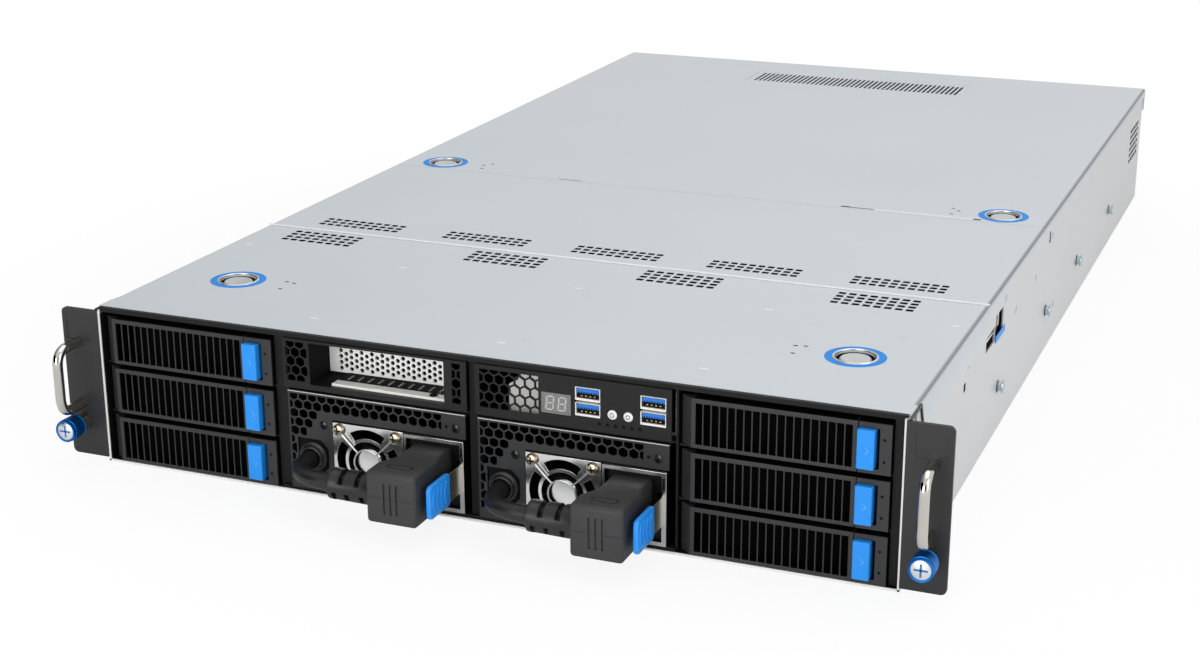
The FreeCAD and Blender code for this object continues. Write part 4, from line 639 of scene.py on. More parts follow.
class Blank:
    """Faces of one piece, each with its finish. The shift moves the whole piece to the right."""

    def __init__(self, shift=0.0):
        self.mesh = bmesh.new()
        self.finishes = []
        self.shift = shift

    def paint(self, faces, finish):
        if finish not in self.finishes:
            self.finishes.append(finish)
        for face in faces:
            face.material_index = self.finishes.index(finish)

    def corner(self, x, y, z):
        """A new point of the mesh, moved by the shift."""
        return self.mesh.verts.new((x + self.shift, y, z))

    def box(self, x, y, z, finish):
        base = ((x[0], y[0]), (x[1], y[0]), (x[1], y[1]), (x[0], y[1]))
        corners = [self.corner(a, b, c) for c in z for a, b in base]
        sides = [(0, 3, 2, 1), (4, 5, 6, 7), (0, 1, 5, 4), (1, 2, 6, 5), (2, 3, 7, 6), (3, 0, 4, 7)]
        self.paint([self.mesh.faces.new([corners[k] for k in side]) for side in sides], finish)
        return self

    def cross(self, x, z, arm, half, y, finish):
        """The two bars of a cross recess in a screw that faces the front."""
        for wide, high in ((arm, half), (half, arm)):
            self.box((x - wide, x + wide), y, (z - high, z + high), finish)

    def sheet(self, plane, loops, depth, finish):
        """A plate between two depths, with the first loop outside and the others as holes."""
        put = PLANES[plane]
        rims = [[self.corner(*put(u, v, depth[0])) for u, v in loop] for loop in loops]
        edges = [self.mesh.edges.new((a, b)) for rim in rims for a, b in zip(rim, rim[1:] + rim[:1])]
        filled = bmesh.ops.triangle_fill(self.mesh, use_beauty=True, use_dissolve=True, edges=edges)
        faces = [item for item in filled["geom"] if isinstance(item, bmesh.types.BMFace)]
        grown = bmesh.ops.extrude_face_region(self.mesh, geom=faces, use_keep_orig=True)
        moved = [item for item in grown["geom"] if isinstance(item, bmesh.types.BMVert)]
        bmesh.ops.translate(self.mesh, verts=moved, vec=Vector(put(0, 0, depth[1] - depth[0])))
        made = set(faces) | {face for vert in moved for face in vert.link_faces}
        bmesh.ops.recalc_face_normals(self.mesh, faces=list(made))
        self.paint(made, finish)
        return self

    def turned(self, profile, centre, plane, finish, sides=40, wave=0.0, teeth=0, hoop=False):
        """A round that faces a plane, from (radius, distance) pairs. Teeth cut a knurl into it."""
        put = PLANES[plane]
        rows = []
        for radius, along in profile:
            row = []
            for k in range(sides):
                angle = 2 * math.pi * k / sides
                out = radius * (1 - wave * (0.5 + 0.5 * math.cos(teeth * angle)))
                spot = put(out * math.cos(angle), out * math.sin(angle), along)
                row.append(self.corner(*[c + s for c, s in zip(centre, spot)]))
            rows.append(row)
        faces = [] if hoop else [self.mesh.faces.new(rows[0]), self.mesh.faces.new(rows[-1])]
        for low, high in zip(rows, rows[1:] + (rows[:1] if hoop else [])):
            for k in range(sides):
                faces.append(self.mesh.faces.new((low[k - 1], low[k], high[k], high[k - 1])))
        bmesh.ops.recalc_face_normals(self.mesh, faces=faces)
        self.paint(faces, finish)
        return self


print("planes to work in:", ", ".join(PLANES))

# %% [markdown]
# An outline is a list of points in a plane. Three short functions make the usual ones: a rectangle, an
# arc, and a ring, which is a whole arc without its last point. Others come with the piece they are for.

# %% Outlines


def oblong(x, z):
    return [(x[0], z[0]), (x[1], z[0]), (x[1], z[1]), (x[0], z[1])]


def arc(middle, radius, first, last, count):
    """Points along an arc from one angle to another, in degrees."""
    angles = [math.radians(first + (last - first) * k / count) for k in range(count + 1)]
    return [(middle[0] + radius * math.cos(a), middle[1] + radius * math.sin(a)) for a in angles]


def ring(middle, radius, count, turn=0):
    return arc(middle, radius, turn, turn + 360, count)[:-1]


print("points of a rectangle:", len(oblong((0, 1), (0, 1))), "and of a hexagon:", len(ring((0, 0), 1, 6)))

# %% [markdown]
# Some blanks need more: a bent rod, which is a curve turned into a mesh, edges that are rounded as a
# mould rounds them, and grooves that a cutter takes away. When a blank is done it is settled: its
# millimetres become metres, its edges are eased, and it rides on the body that carries it.

# %% Shapes that are bent, rounded, cut and settled


class Shape(Blank):
    """A blank that can be worked further and made into a piece."""

    def rod(self, points, radius, finish, closed=False):
        """A round rod that follows its points smoothly."""
        moved = [(x + self.shift, y, z) for x, y, z in points]
        holder = smooth_line("rod", moved, radius, rounds=4, steps=10, closed=closed)
        line = holder.data
        tube = bpy.data.meshes.new_from_object(holder)
        known = len(self.mesh.faces)
        self.mesh.from_mesh(tube)
        self.mesh.faces.ensure_lookup_table()
        self.paint(self.mesh.faces[known:], finish)
        bpy.data.objects.remove(holder)
        bpy.data.curves.remove(line)
        bpy.data.meshes.remove(tube)

    def soften(self, width, segments, angle=35):
        """Rounds every edge that is sharper than the angle."""
        bmesh.ops.remove_doubles(self.mesh, verts=self.mesh.verts, dist=0.001)
        inner = [edge for edge in self.mesh.edges if len(edge.link_faces) == 2]
        sharp = [edge for edge in inner if edge.calc_face_angle() > math.radians(angle)]
        bmesh.ops.bevel(
            self.mesh, geom=sharp, offset=width, offset_type="OFFSET", segments=segments, profile=0.5,
            affect="EDGES", clamp_overlap=True,
        )
        return self

    def cut(self, tool):
        """Takes the tool's shape away, as a cutter would."""
        holders = []
        for shape in (self, tool):
            mesh = bpy.data.meshes.new("blank")
            shape.mesh.to_mesh(mesh)
            shape.mesh.free()
            for finish in self.finishes:
                mesh.materials.append(finish)
            holders.append(bpy.data.objects.new("blank", mesh))
            bpy.context.scene.collection.objects.link(holders[-1])
        step = holders[0].modifiers.new("cut", "BOOLEAN")
        step.operation = "DIFFERENCE"
        step.solver = "EXACT"
        step.use_self = True
        step.object = holders[1]
        worked = holders[0].evaluated_get(bpy.context.evaluated_depsgraph_get())
        result = bpy.data.meshes.new_from_object(worked)
        self.mesh = bmesh.new()
        self.mesh.from_mesh(result)
        bpy.data.meshes.remove(result)
        for holder in holders:
            blank = holder.data
            bpy.data.objects.remove(holder)
            bpy.data.meshes.remove(blank)

    def settle(self, name, body, slot, replaces=(), edge=0.0, segments=2, angle=35):
        """Makes the piece: metres, finishes, eased edges, and the body that it rides on."""
        for vert in self.mesh.verts:
            vert.co = at(*vert.co)
        mesh = bpy.data.meshes.new(name)
        self.mesh.to_mesh(mesh)
        self.mesh.free()
        for finish in self.finishes:
            mesh.materials.append(finish)
        mesh.shade_smooth()
        mesh.set_sharp_from_angle(angle=math.radians(angle))
        piece = bpy.data.objects.new(name, mesh)
        bpy.context.scene.collection.objects.link(piece)
        if edge:
            ease(piece, edge, segments, angle)
        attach(piece, body)
        if replaces:
            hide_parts(*replaces)


print("ways to work a shape:", [name for name in vars(Shape) if not name.startswith("_")])

# %% [markdown]
# The top is three covers. Each is one sheet that is punched flat, with its vent slots and latch holes,
# and then bent down along both edges, so a plate with holes and two bent strips make it.

# %% Sheet with bent edges
LID_X = mm(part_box("front_cover")[1].x)
BEND = 2.0
FLANGE = 0.8
SHEET_Z = (86.3, 87.5)
TOP = SHEET_Z[1]


def punched(corner, count, hole, pitch):
    """A field of equal slots, from its front left corner."""
    made = []
    for row in range(count[1]):
        for column in range(count[0]):
            x, y = corner[0] + column * pitch[0], corner[1] + row * pitch[1]
            made.append(oblong((x, x + hole[0]), (y, y + hole[1])))
    return made


def lid_sheet(y, holes, finish, bent, low):
    """A cover's flat with its holes, and the bend and flange along both edges."""
    flat = LID_X - BEND
    lid = Shape().sheet("top", [oblong((-flat, flat), y)] + holes, SHEET_Z, finish)
    inside = LID_X - FLANGE
    strip = arc((flat, TOP - BEND), BEND, 90, 0, 6)
    strip += [(LID_X, low), (inside, low), (inside, SHEET_Z[0]), (flat, SHEET_Z[0])]
    for sign in (-1, 1):
        lid.sheet("front", [[(sign * x, z) for x, z in strip]], bent, finish)
    return lid


print("covers are", 2 * LID_X, "mm wide and end", TOP, "mm above the floor")

# %% [markdown]
# The front cover has no flange beside the ears. The middle one has a folded hem in front, painted pale
# as a highlight, and the rear one a lip behind and a shallow pressed field for its vent.

# %% Three covers
LATCHES = {
    "fl": (-175.7, 70.5, "front_lid"), "fr": (175.7, 70.5, "front_lid"),
    "rl": (-191.0, 359.5, "rear_lid"), "rr": (191.0, 359.5, "rear_lid"),
}
latch_holes = {"front_lid": [], "rear_lid": []}
for x, y, lid in LATCHES.values():
    latch_holes[lid].append(ring((x, y), 9.95, 48))
slots = []
for left in (-196.7, -77.2, 28.8, 139.6):
    slots += punched((left, 150.9), (8, 4), (4.1, 3.5), (5.86, 5.6))
front_sheet = lid_sheet((3.4, 175.5), latch_holes["front_lid"] + slots, FRONT_LID, (15.4, 175.5), 69)
for sign in (-1, 1):
    front_sheet.box(sorted((sign * LID_X, sign * (LID_X - BEND))), (3.4, 15.4), SHEET_Z, FRONT_LID)
front_sheet.settle("front_cover_sheet", "front_lid", "zinc_steel", ["front_cover"])
slots = []
for k in range(-2, 3):
    slots += punched((83.1 * k - 26.4, 188.6), (10, 3), (3.9, 3.5), (5.45, 5.6))
mid_sheet = lid_sheet((176, 341.5), slots, MID_LID, (176, 341.5), 81)
# Painted highlight on the hem's front.
mid_sheet.box((-LID_X, LID_X), (176, 177.2), (87.4, 88.2), HIGHLIGHT_FOLD)
mid_sheet.settle("mid_cover_sheet", "chassis", "zinc_steel", ["mid_cover"])
pressed = oblong((-89, 89), (702, 750))
rear_sheet = lid_sheet((342, 786.8), latch_holes["rear_lid"] + [pressed], REAR_LID, (342, 786.8), 81)
rear_sheet.box((-LID_X, LID_X), (786, 786.8), (70.5, SHEET_Z[0]), REAR_LID)
field = [oblong((-90, 90), (701, 751))] + punched((-83.4, 710), (46, 1), (1.9, 32), (3.67, 0))
rear_sheet.sheet("top", field, (85.8, 87.0), REAR_LID)
rear_sheet.settle("rear_cover_sheet", "rear_lid", "zinc_steel", ["rear_cover"])
print("vent slots: 8 by 4 in front, 10 by 3 in the middle, 46 at the back")

# %% [markdown]
# Four round push latches hold the covers. Each is a shallow pressed dish in a groove painted near black
# as shade, with a bright rolled rim round its hole, a thin ring of painted shade at the hole's edge, and
# a blue ring printed on the cover to show where a finger goes.

# %% Cover latches
DISH = [(0.01, 86.5), (4.5, 86.55), (6.6, 86.9), (7.4, 86.9), (8.0, 86.3), (8.0, 84.8), (0.01, 84.8)]
GROOVE = [(8.0, 85.6), (9.1, 85.6), (9.5, 86.6), (9.5, 84.8), (8.0, 84.8)]
RIM = [(10.3, 87.45), (10.4, 87.9), (10.8, 88.12), (11.3, 88.0), (11.6, 87.5)]
for name, (x, y, lid) in LATCHES.items():
    dish = Shape().turned(DISH, (x, y, 0), "top", SATIN, 56)
    # The groove is painted near black as shade.
    dish.turned(GROOVE, (x, y, 0), "top", BLACK_AND_SHADE, 56, hoop=True)
    dish.settle("latch_dish_" + name, "latch_" + name, "zinc_steel", ["cover_latch_" + name])
    halo = Shape()
    # The thin near-black ring at the hole's edge is painted shade.
    for outside, inside, height, finish in ((15.4, 11.5, 0.08, RING_BLUE), (10.4, 9.95, 0.06, BLACK_AND_SHADE)):
        loops = [ring((x, y), outside, 64), ring((x, y), inside, 64)]
        halo.sheet("top", loops, (TOP, TOP + height), finish)
    halo.turned(RIM, (x, y, 0), "top", BRIGHT, 64, hoop=True)
    halo.settle("latch_ring_" + name, lid, "blue_plastic")
print("latches:", ", ".join(LATCHES))

# %% [markdown]
# The side vents are rows of short slots. The solids carry each row as one long slot, so the narrow
# bridges between the short slots are set into it here, flush with the wall and just as thick.

# %% Vent bridges
WALL_X = mm(tray_high.x)
WALL_THICK = 1.2


def off_wall(sign, first, second):
    """A stretch of x that is measured outwards from the left (-1) or right (1) wall."""
    return sorted((sign * (WALL_X + first), sign * (WALL_X + second)))


side_bars = Shape()
for sign in (-1, 1):
    for row in range(6):
        for k in range(4):
            front_edge = 731.16 + 8.96 * k
            low = 40 + 4.7 * row
            bridge = (front_edge, front_edge + 1.8)
            side_bars.box(off_wall(sign, -WALL_THICK, 0), bridge, (low, low + 2.6), WALL)
side_bars.settle("side_vent_bars", "chassis", "zinc_steel")
print("side vents: 6 rows of 5 slots in each wall")

# %% [markdown]
# Each drive carrier opens with a blue button that is pushed to the right. A moulded button has soft
# edges and a low arrow mark, so it is a block with eased edges and a thin chevron. Beside it are two
# small dark lights.

# %% Carrier buttons
LIGHT = [(0.01, -0.05), (0.6, -0.05), (0.75, 0.0), (0.75, 0.3)]


def chevron(x, z, arm, thick):
    """The outline of a mark that points to the right."""
    upper = [(x, z + arm), (x + thick, z + arm), (x + arm + thick, z)]
    return upper + [(x + thick, z - arm), (x, z - arm), (x + arm, z)]


for k, (left, low) in BAYS.items():
    body = "button_%d" % k
    button = Shape().box((left + 87.2, left + 95.5), (-3, 5.5), (low + 2.7, low + 22.1), AZURE)
    node = "carrier_button_%d" % k
    button.settle("release_button_%d" % k, body, "blue_plastic", [node], edge=0.55, segments=3)
    mark = Shape().sheet("front", [chevron(left + 90.9, low + 12.0, 1.7, 0.5)], (-3.06, -2.9), PALE_BLUE)
    mark.settle("button_mark_%d" % k, body, "blue_plastic")
    lights = Shape()
    for z in (17.3, 6.5):
        lights.turned(LIGHT, (left + 99.6, 0, low + z), "front", BLACK_AND_SHADE, 14)
    lights.settle("bay_lights_%d" % k, "carrier_%d" % k, "black_plastic")
print("buttons:", len(BAYS))

# %% [markdown]
# The bow handles are chromed rod, bent in one go, and sit on the ears by their feet. A rod with soft
# bends is again a NURBS line: two legs and a bar, with the bends left to the curve.

# %% Bow handles
EAR_X = 232.55
BOW = [(-1, 32), (-2, 32), (-19.5, 31.6), (-19.5, 49.2), (-19.5, 66.9), (-2, 66.5), (-1, 66.5)]
bows = Shape()
for sign in (-1, 1):
    bows.rod([(sign * EAR_X, y, z) for y, z in BOW], 2.72, CHROME)
bows.settle("bow_handles", "chassis", "chrome", ["rack_handles"])
print("handles made of", CHROME.name)

# %% [markdown]
# The captive thumb screws have a blue knurled barrel, a bright face with a cross recess, and a plain
# sleeve behind. The knurl is a round whose radius waves with the angle, which is how it is rolled.

# %% Thumb screws
THUMB_Z = 21.4
BARREL = [
    (5.0, -18.1), (5.15, -18.6), (5.7, -18.7), (6.1, -18.35), (6.1, -17.3), (5.75, -17.1), (5.75, -16.7),
    (6.28, -16.5), (6.28, -9.6), (5.9, -9.3), (5.9, -8.7), (6.2, -8.4), (6.0, -7.7), (4.2, -7.6),
]
FACE = [(0.01, -18.45), (4.6, -18.4), (5.05, -18.1), (5.05, -17.8)]
SLEEVE = [
    (4.3, -7.7), (4.3, -1.1), (2.5, -1.1), (2.5, 1.3), (2.95, 1.4), (2.95, 9.4), (2.5, 10.0), (0.01, 10.0),
]
for side, x in (("left", -EAR_X), ("right", EAR_X)):
    spot = (x, 0, THUMB_Z)
    screw = Shape().turned(BARREL, spot, "front", ANODISED, 120, wave=0.035, teeth=40)
    screw.turned(FACE, spot, "front", SILVER, 40)
    screw.cross(x, THUMB_Z, 3.3, 0.5, (-18.5, -18.2), DEEP_BLUE)
    screw.turned(SLEEVE, spot, "front", CHROME, 40)
    screw.settle("thumb_screw_piece_" + side, "thumb_" + side, "blue_plastic", ["thumb_screw_" + side])
print("thumb screws: 2")

# %% [markdown]
# A low card slot opens at the top left of the middle. Its bracket is pale steel, pierced with round
# holes for air, and it stands back in the opening on a small ledge that a screw and a clip hold. The
# ledge is bright in front; behind, where a row of ribs stiffens it, it is painted near black as the
# shade deep in the slot.

# %% Slot bracket
LEDGE_X = (-80, -14.75)
LEDGE_Z = 61.8
SLOT_SCREW = [(0.01, 62.9), (1.6, 62.85), (2.1, 62.5), (2.1, LEDGE_Z)]
holes = []
for column in range(20):
    odd = column % 2
    for row in range(4 - odd):
        holes.append(ring((-84.1 + 3.0 * column, 64.2 + 1.6 * odd + 3.2 * row), 1.18, 12))
face = oblong((-90.9, LEDGE_X[1]), (LEDGE_Z, 82.4))
bracket = Shape().sheet("front", [face] + holes, (20.8, 22.0), BRACKET)
bracket.box(LEDGE_X, (3.2, 22.0), (60.95, LEDGE_Z), SHADED_POLISH)
bracket.box(LEDGE_X, (2.9, 3.3), (60.95, 62.3), CREAM)
bracket.box(LEDGE_X, (3.3, 9), (LEDGE_Z, 62.1), CREAM)
# Painted shade on the rear of the ledge, deep in the slot.
bracket.box((LEDGE_X[0], -16), (9, 20.8), (LEDGE_Z, 62.1), BLACK_AND_SHADE)
for k in range(10):
    bracket.box((-75.5 + 5.8 * k, -74.3 + 5.8 * k), (11, 17), (62.1, 62.4), GREY)
bracket.box((-15.5, LEDGE_X[1]), (3.4, 20.8), (LEDGE_Z, 79.3), CREAM)
bracket.box((-55.4, -52.2), (3.3, 6.2), (LEDGE_Z, 62.5), WHITE)
bracket.turned(SLOT_SCREW, (-23.8, 6.4, 0), "top", BLACK_AND_SHADE, 24)
bracket.settle("low_slot_bracket", "chassis", "white_plastic", ["slot_bracket"], edge=0.12)
print("bracket holes:", len(holes))

# %% [markdown]
# The control panel carries a two digit display, two pairs of ports, two push buttons and six small
# lights. The digits are seven bars each, raised a little from a grey face and left all on.

# %% Display
FACE_X, FACE_Z = (38.2, 53.7), (64.4, 74.9)
DIGIT_Z = 69.6
LEAN = 0.10
FLAT_BARS = ((0, 3.4), (0, 0), (0, -3.4))
UPRIGHT_BARS = ((-1.8, 1.7), (1.8, 1.7), (-1.8, -1.7), (1.8, -1.7))
display = Shape().box(FACE_X, (0.3, 8.7), FACE_Z, GREY)
display.sheet("front", [oblong(FACE_X, FACE_Z), oblong((38.9, 53.0), (65.1, 74.2))], (-0.1, 0.3), GREY)


def bar(x, z, stands, half=1.55, tip=0.3):
    """A segment with pointed ends that leans with its digit."""
    upper = [(-half, 0), (-half + tip, tip), (half - tip, tip)]
    points = upper + [(-u, -v) for u, v in upper]
    if stands:
        points = [(v, u) for u, v in points]
    return [(x + u + LEAN * (v + z - DIGIT_Z), z + v) for u, v in points]


for middle in (42.6, 49.0):
    for places, stands in ((FLAT_BARS, False), (UPRIGHT_BARS, True)):
        for u, v in places:
            display.sheet("front", [bar(middle + u, DIGIT_Z + v, stands)], (0.18, 0.32), DIGIT)
display.settle("display_block", "chassis", "black_plastic", ["digit_display"])
print("display segments:", 2 * len(FLAT_BARS + UPRIGHT_BARS))

# %% [markdown]
# Each port is a drawn steel shell with one mouth, and two of them sit one over the other. In each
# mouth is a blue tongue with thin gold contacts under it, and below and behind it is painted shade, near
# black. A pale screen behind the panel shows through the vent beside the display.

# %% Ports
ports = Shape()
for left in (56.1, 89.9):
    for low in (65.2, 73.2):
        shell = oblong((left, left + 13.0), (low, low + 6.7))
        mouth = oblong((left + 0.4, left + 12.65), (low + 1.0, low + 6.4))
        ports.sheet("front", [shell, mouth], (-0.25, 8.0), CREAM)
        # Painted shade in the mouth below the tongue.
        ports.box((left + 0.5, left + 12.55), (0.8, 7.8), (low + 1.1, low + 3.3), BLACK_AND_SHADE)
        ports.box((left + 0.9, left + 12.3), (0.4, 7.9), (low + 3.5, low + 6.1), TONGUE_BLUE)
        for k in range(8):
            spot = left + 1.9 + 1.3 * k
            ports.box((spot - 0.3, spot + 0.3), (0.25, 0.65), (low + 3.1, low + 4.3), BLACK_AND_SHADE)
        for k in range(4):
            spot = left + 3.1 + 2.25 * k
            ports.box((spot - 0.5, spot + 0.5), (0.65, 1.2), (low + 1.9, low + 2.4), GOLD)
    # Painted shade behind each pair of mouths.
    ports.box((left + 0.1, left + 12.9), (8.0, 14.0), (65.3, 79.8), BLACK_AND_SHADE)
screen = [(105.6, 58.1), (105.6, 83.4), (22, 83.4), (22, 76), (16.8, 73), (16.8, 58.1)]
ports.sheet("front", [screen, oblong((35, 104.5), (59.3, 82.2))], (9, 10.2), CREAM)
ports.settle("port_pairs", "chassis", "chrome", ["usb_ports"], edge=0.1)
print("port mouths: 4")

# %% [markdown]
# The two push buttons are white moulded caps with a low dome, each with a plain ring on its face. The
# lights are six small dark dots in a row under them.

# %% Push buttons and lights
BUTTON_Z = 67.9
CAP = [(0.01, -0.62), (1.4, -0.6), (2.0, -0.5), (2.4, -0.15), (2.4, 4.4), (0.01, 4.4)]
DOT = [(0.01, -0.18), (0.65, -0.14), (0.95, 0.02), (0.95, 1.0)]
for name, x in (("id", 75.4), ("power", 83.6)):
    cap = Shape().turned(CAP, (x, 0, BUTTON_Z), "front", WHITE, 36)
    circle = [ring((x, BUTTON_Z), 1.15, 24), ring((x, BUTTON_Z), 0.8, 24)]
    cap.sheet("front", circle, (-0.66, -0.55), BEZEL)
    cap.settle(name + "_cap", name + "_button_body", "white_plastic", [name + "_button"])
dots = Shape()
for k in range(6):
    dots.turned(DOT, (68.7 + 4.2 * k, 0, 62.4), "front", BLACK_AND_SHADE, 16)
dots.settle("panel_lights", "chassis", "black_plastic")
print("caps: 2, lights: 6")

# %% [markdown]
# Beside and above each power supply is a black sheet steel panel, punched with hexagons for air. A
# punch leaves whole cells in the middle and cut cells at the border, so each hexagon is trimmed to
# the field that it lies in, and what is left of it becomes a real hole.

# %% Trimmed cells


def trimmed(points, x, z):
    """The part of a convex outline that lies inside a rectangle."""
    for axis, limit, sign in ((0, x[0], 1), (0, x[1], -1), (1, z[0], 1), (1, z[1], -1)):
        kept = []
        for a, b in zip(points, points[1:] + points[:1]):
            da, db = sign * (a[axis] - limit), sign * (b[axis] - limit)
            if da >= 0:
                kept.append(a)
            if da * db < 0:
                share = da / (da - db)
                kept.append(tuple(p + share * (q - p) for p, q in zip(a, b)))
        points = kept
    return points


print("half a square:", trimmed(oblong((0, 2), (0, 2)), (0, 1), (0, 2)))

# %% [markdown]
# The hexagons stand in rows, and every second row is moved by half a pitch, as in a comb. They fill a
# wide field above the supply and four more, each narrower than the last, down the panel's left edge.

# %% Honeycomb
CELL = 4.7
CELL_PITCH, CELL_ROW = 5.5, 4.85
CELL_START = (-98.7, 49.2)
SMALLEST = 1.0
FIELDS = [
    ((-103.6, -16.7), (46.9, 55.0)),
    ((-103.6, -88.0), (42.1, 46.7)),
    ((-103.6, -91.0), (37.2, 41.9)),
    ((-103.6, -94.5), (32.4, 37.0)),
    ((-103.6, -100.9), (8.0, 32.2)),
]


def extent(points, axis):
    values = [point[axis] for point in points]
    return max(values) - min(values)


def honeycomb(x, z):
    """The cells of one field, without those that are too small to punch."""
    cells = []
    for row in range(-12, 13):
        middle_z = CELL_START[1] + row * CELL_ROW
        for column in range(-40, 41):
            middle = (CELL_START[0] + (column + 0.5 * (row % 2)) * CELL_PITCH, middle_z)
            cell = trimmed(ring(middle, CELL / math.sqrt(3), 6, 30), x, z)
            if len(cell) > 2 and min(extent(cell, 0), extent(cell, 1)) > SMALLEST:
                cells.append(cell)
    return cells


cells = [cell for x, z in FIELDS for cell in honeycomb(x, z)]
print("cells in each panel:", len(cells))

# %% [markdown]
# The panel itself is one sheet with those cells and a cut-out for the cord, folded back at its left
# and upper edges, with a low lip beside the supply. A pale line along the upper fold is a painted
# highlight. Two screws with cross recesses hold the panel, and their crosses are painted near black as
# shade.

# %% Panels round the power supplies
PANEL_OUTLINE = [(-104.7, 3), (-79.5, 3), (-79.5, 43.2), (-3.4, 43.2), (-3.4, 56.4), (-104.7, 56.4)]
SCREW_HEAD = [(0.01, -0.9), (1.3, -0.85), (2.2, -0.35), (2.3, 0.0)]
PINHOLE = [(0.01, -0.05), (0.9, -0.05), (1.0, 0.1)]


def gland_outline(gap):
    """The cord's cut-out, which has two cut corners, made smaller by a gap all round."""
    left, slope, right = -99.9 + gap, -86.5 - gap, -82.1 - gap
    low, high = 12.1 + gap, 31.1 - gap
    return [(left, low), (slope, low), (right, 16.5 + gap), (right, 26.7 - gap), (slope, high), (left, high)]


for side, shift in SIDES:
    panel = Shape(shift).sheet("front", [PANEL_OUTLINE, gland_outline(0)] + cells, (0, 1.2), POWDER)
    panel.box((-104.7, -103.7), (1.2, 6), (3, 56.4), POWDER)
    panel.box((-103.7, -3.4), (1.2, 6), (55.4, 56.4), POWDER)
    panel.box((-79.5, -78.9), (-0.2, 1.2), (3, 43.2), POWDER)
    # Painted highlight along the upper fold.
    panel.box((-104.6, -3.5), (-0.06, 0.6), (56.0, 56.45), DIGIT)
    panel.turned(PINHOLE, (-14, 0, 49), "front", BLACK_AND_SHADE, 20)
    for x, z in ((-84.3, 39.6), (-8.7, 48.7)):
        panel.turned(SCREW_HEAD, (x, 0, z), "front", BLACK_SCREW, 28)
        panel.cross(x, z, 1.5, 0.4, (-0.96, -0.7), BLACK_AND_SHADE)
    stands_for = ["psu_panels"] if side == "left" else ()
    panel.settle("psu_panel_" + side, "chassis", "black_steel", stands_for, edge=0.1)
print("panels: 2")

# %% [markdown]
# The cord leaves the panel through a rubber gland: a base that snaps into the cut-out, a flange and
# a collar that hugs the cord. The base is painted near black, as the shade in the cut-out.

# %% Cord glands
GLAND_GAP = 0.2
COLLAR = [
    (8.2, 0.8), (8.2, -0.7), (7.7, -1.2), (7.0, -1.25), (6.7, -1.6), (6.5, -3.2), (6.1, -3.6), (5.3, -3.6),
    (5.0, -3.2), (4.9, -1.6),
]
for side, shift in SIDES:
    # The base is painted near black as the shade in the cut-out.
    gland = Shape(shift).sheet("front", [gland_outline(GLAND_GAP)], (0.9, 2.6), BLACK_AND_SHADE)
    gland.turned(COLLAR, (-91, 0, CORD_Z), "front", CORD, 48)
    stands_for = ["cord_glands"] if side == "left" else ()
    gland.settle("gland_piece_" + side, "chassis", "black_rubber", stands_for, edge=0.3)
print("glands: 2")

# %% [markdown]
# In front of each fan is a stamped steel plate with four curved windows, and over it a light wire
# guard that runs from the corner screws to a small ring. The plate is one sheet with its windows cut
# out, and each window is an arc out, an arc back. Beside the fan a frame surrounds the mains inlet.

# %% Fan plates and wire guards
FAN_X, FAN_Z = -58.9, 22.7
SCREW_OUT = 16.1
WIRE = 0.5
HUB = [(0.01, 1.5), (5.6, 1.5), (6.0, 1.35), (6.6, 1.35), (7.0, 1.8), (7.0, 4.0)]
FAN_SCREW = [(0.01, -2.9), (1.7, -2.8), (2.8, -2.3), (3.2, -1.5), (3.2, -1.1), (2.6, -1.0), (2.6, -0.3)]


def kidney(turn, low, high, half):
    """A curved window of the fan plate between two radii."""
    outer = arc((FAN_X, FAN_Z), high, turn - half, turn + half, 12)
    return outer + arc((FAN_X, FAN_Z), low, turn + half, turn - half, 12)


for side, shift in SIDES:
    windows = [kidney(turn, 13.2, 18.0, 34) for turn in (0, 90, 180, 270)]
    border = oblong((FAN_X - 19.8, FAN_X + 20.3), (3.2, 42.4))
    loops = [border, ring((FAN_X, FAN_Z), 11.4, 48)] + windows
    plate = Shape(shift).sheet("front", loops, (-0.4, 0.25), PLATE)
    for degrees in (45, 135, 225, 315):
        c, s = math.cos(math.radians(degrees)), math.sin(math.radians(degrees))
        x, z = FAN_X + math.copysign(SCREW_OUT, c), FAN_Z + math.copysign(SCREW_OUT, s)
        spoke = [(FAN_X + out * c, y, FAN_Z + out * s) for out, y in ((13, -1.9), (7.4, -1.5))]
        plate.rod([(x, -1.7, z)] + spoke, WIRE, SILVER)
        plate.turned(FAN_SCREW, (x, 0, z), "front", BRASS, 32)
        # Painted shade in the cross recess.
        plate.cross(x, z, 1.9, 0.42, (-2.96, -2.5), BLACK_AND_SHADE)
    plate.rod([(x, -1.4, z) for x, z in ring((FAN_X, FAN_Z), 7.7, 12)], WIRE, SILVER, closed=True)
    plate.settle("fan_plate_" + side, "psu_" + side, "chrome", ["psu_guard_" + side], edge=0.12)
    hub = Shape(shift).turned(HUB, (FAN_X, 0, FAN_Z), "front", PLATE, 48)
    hub.settle("fan_hub_" + side, "rotor_" + side, "chrome")
    frame_loops = [oblong((-37.9, -4.6), (3.4, 42.0)), oblong((-36.6, -7.0), (5.5, 40.0))]
    inlet = Shape(shift).sheet("front", frame_loops, (-0.6, 0.25), PLATE)
    inlet.box((-6.3, -5.5), (-1.0, -0.5), (33.5, 39), BLACK_AND_SHADE)
    inlet.settle("inlet_frame_" + side, "psu_" + side, "chrome", edge=0.15)
print("fan plates, hubs and inlet frames: 2 each")

# %% [markdown]
# The plug is moulded rubber: a blunt block with three grip grooves in front, a shallow oval on top
# and a shoulder that narrows to the inlet. Its outline from above is drawn out to full height, its
# edges are rounded, and the grooves are cut afterwards, as the mould's own ribs would leave them.

# %% Mould of a plug
PLUG_OUTLINE = [
    (-11.2, -18), (-12.7, -12.5), (-12.7, 5), (-32.9, 5), (-32.9, -18), (-38.4, -28), (-38.4, -41),
    (-11.2, -41),
]
OVAL = (-24.2, -31.0)
SEAM_Z = (23.7, 23.95)


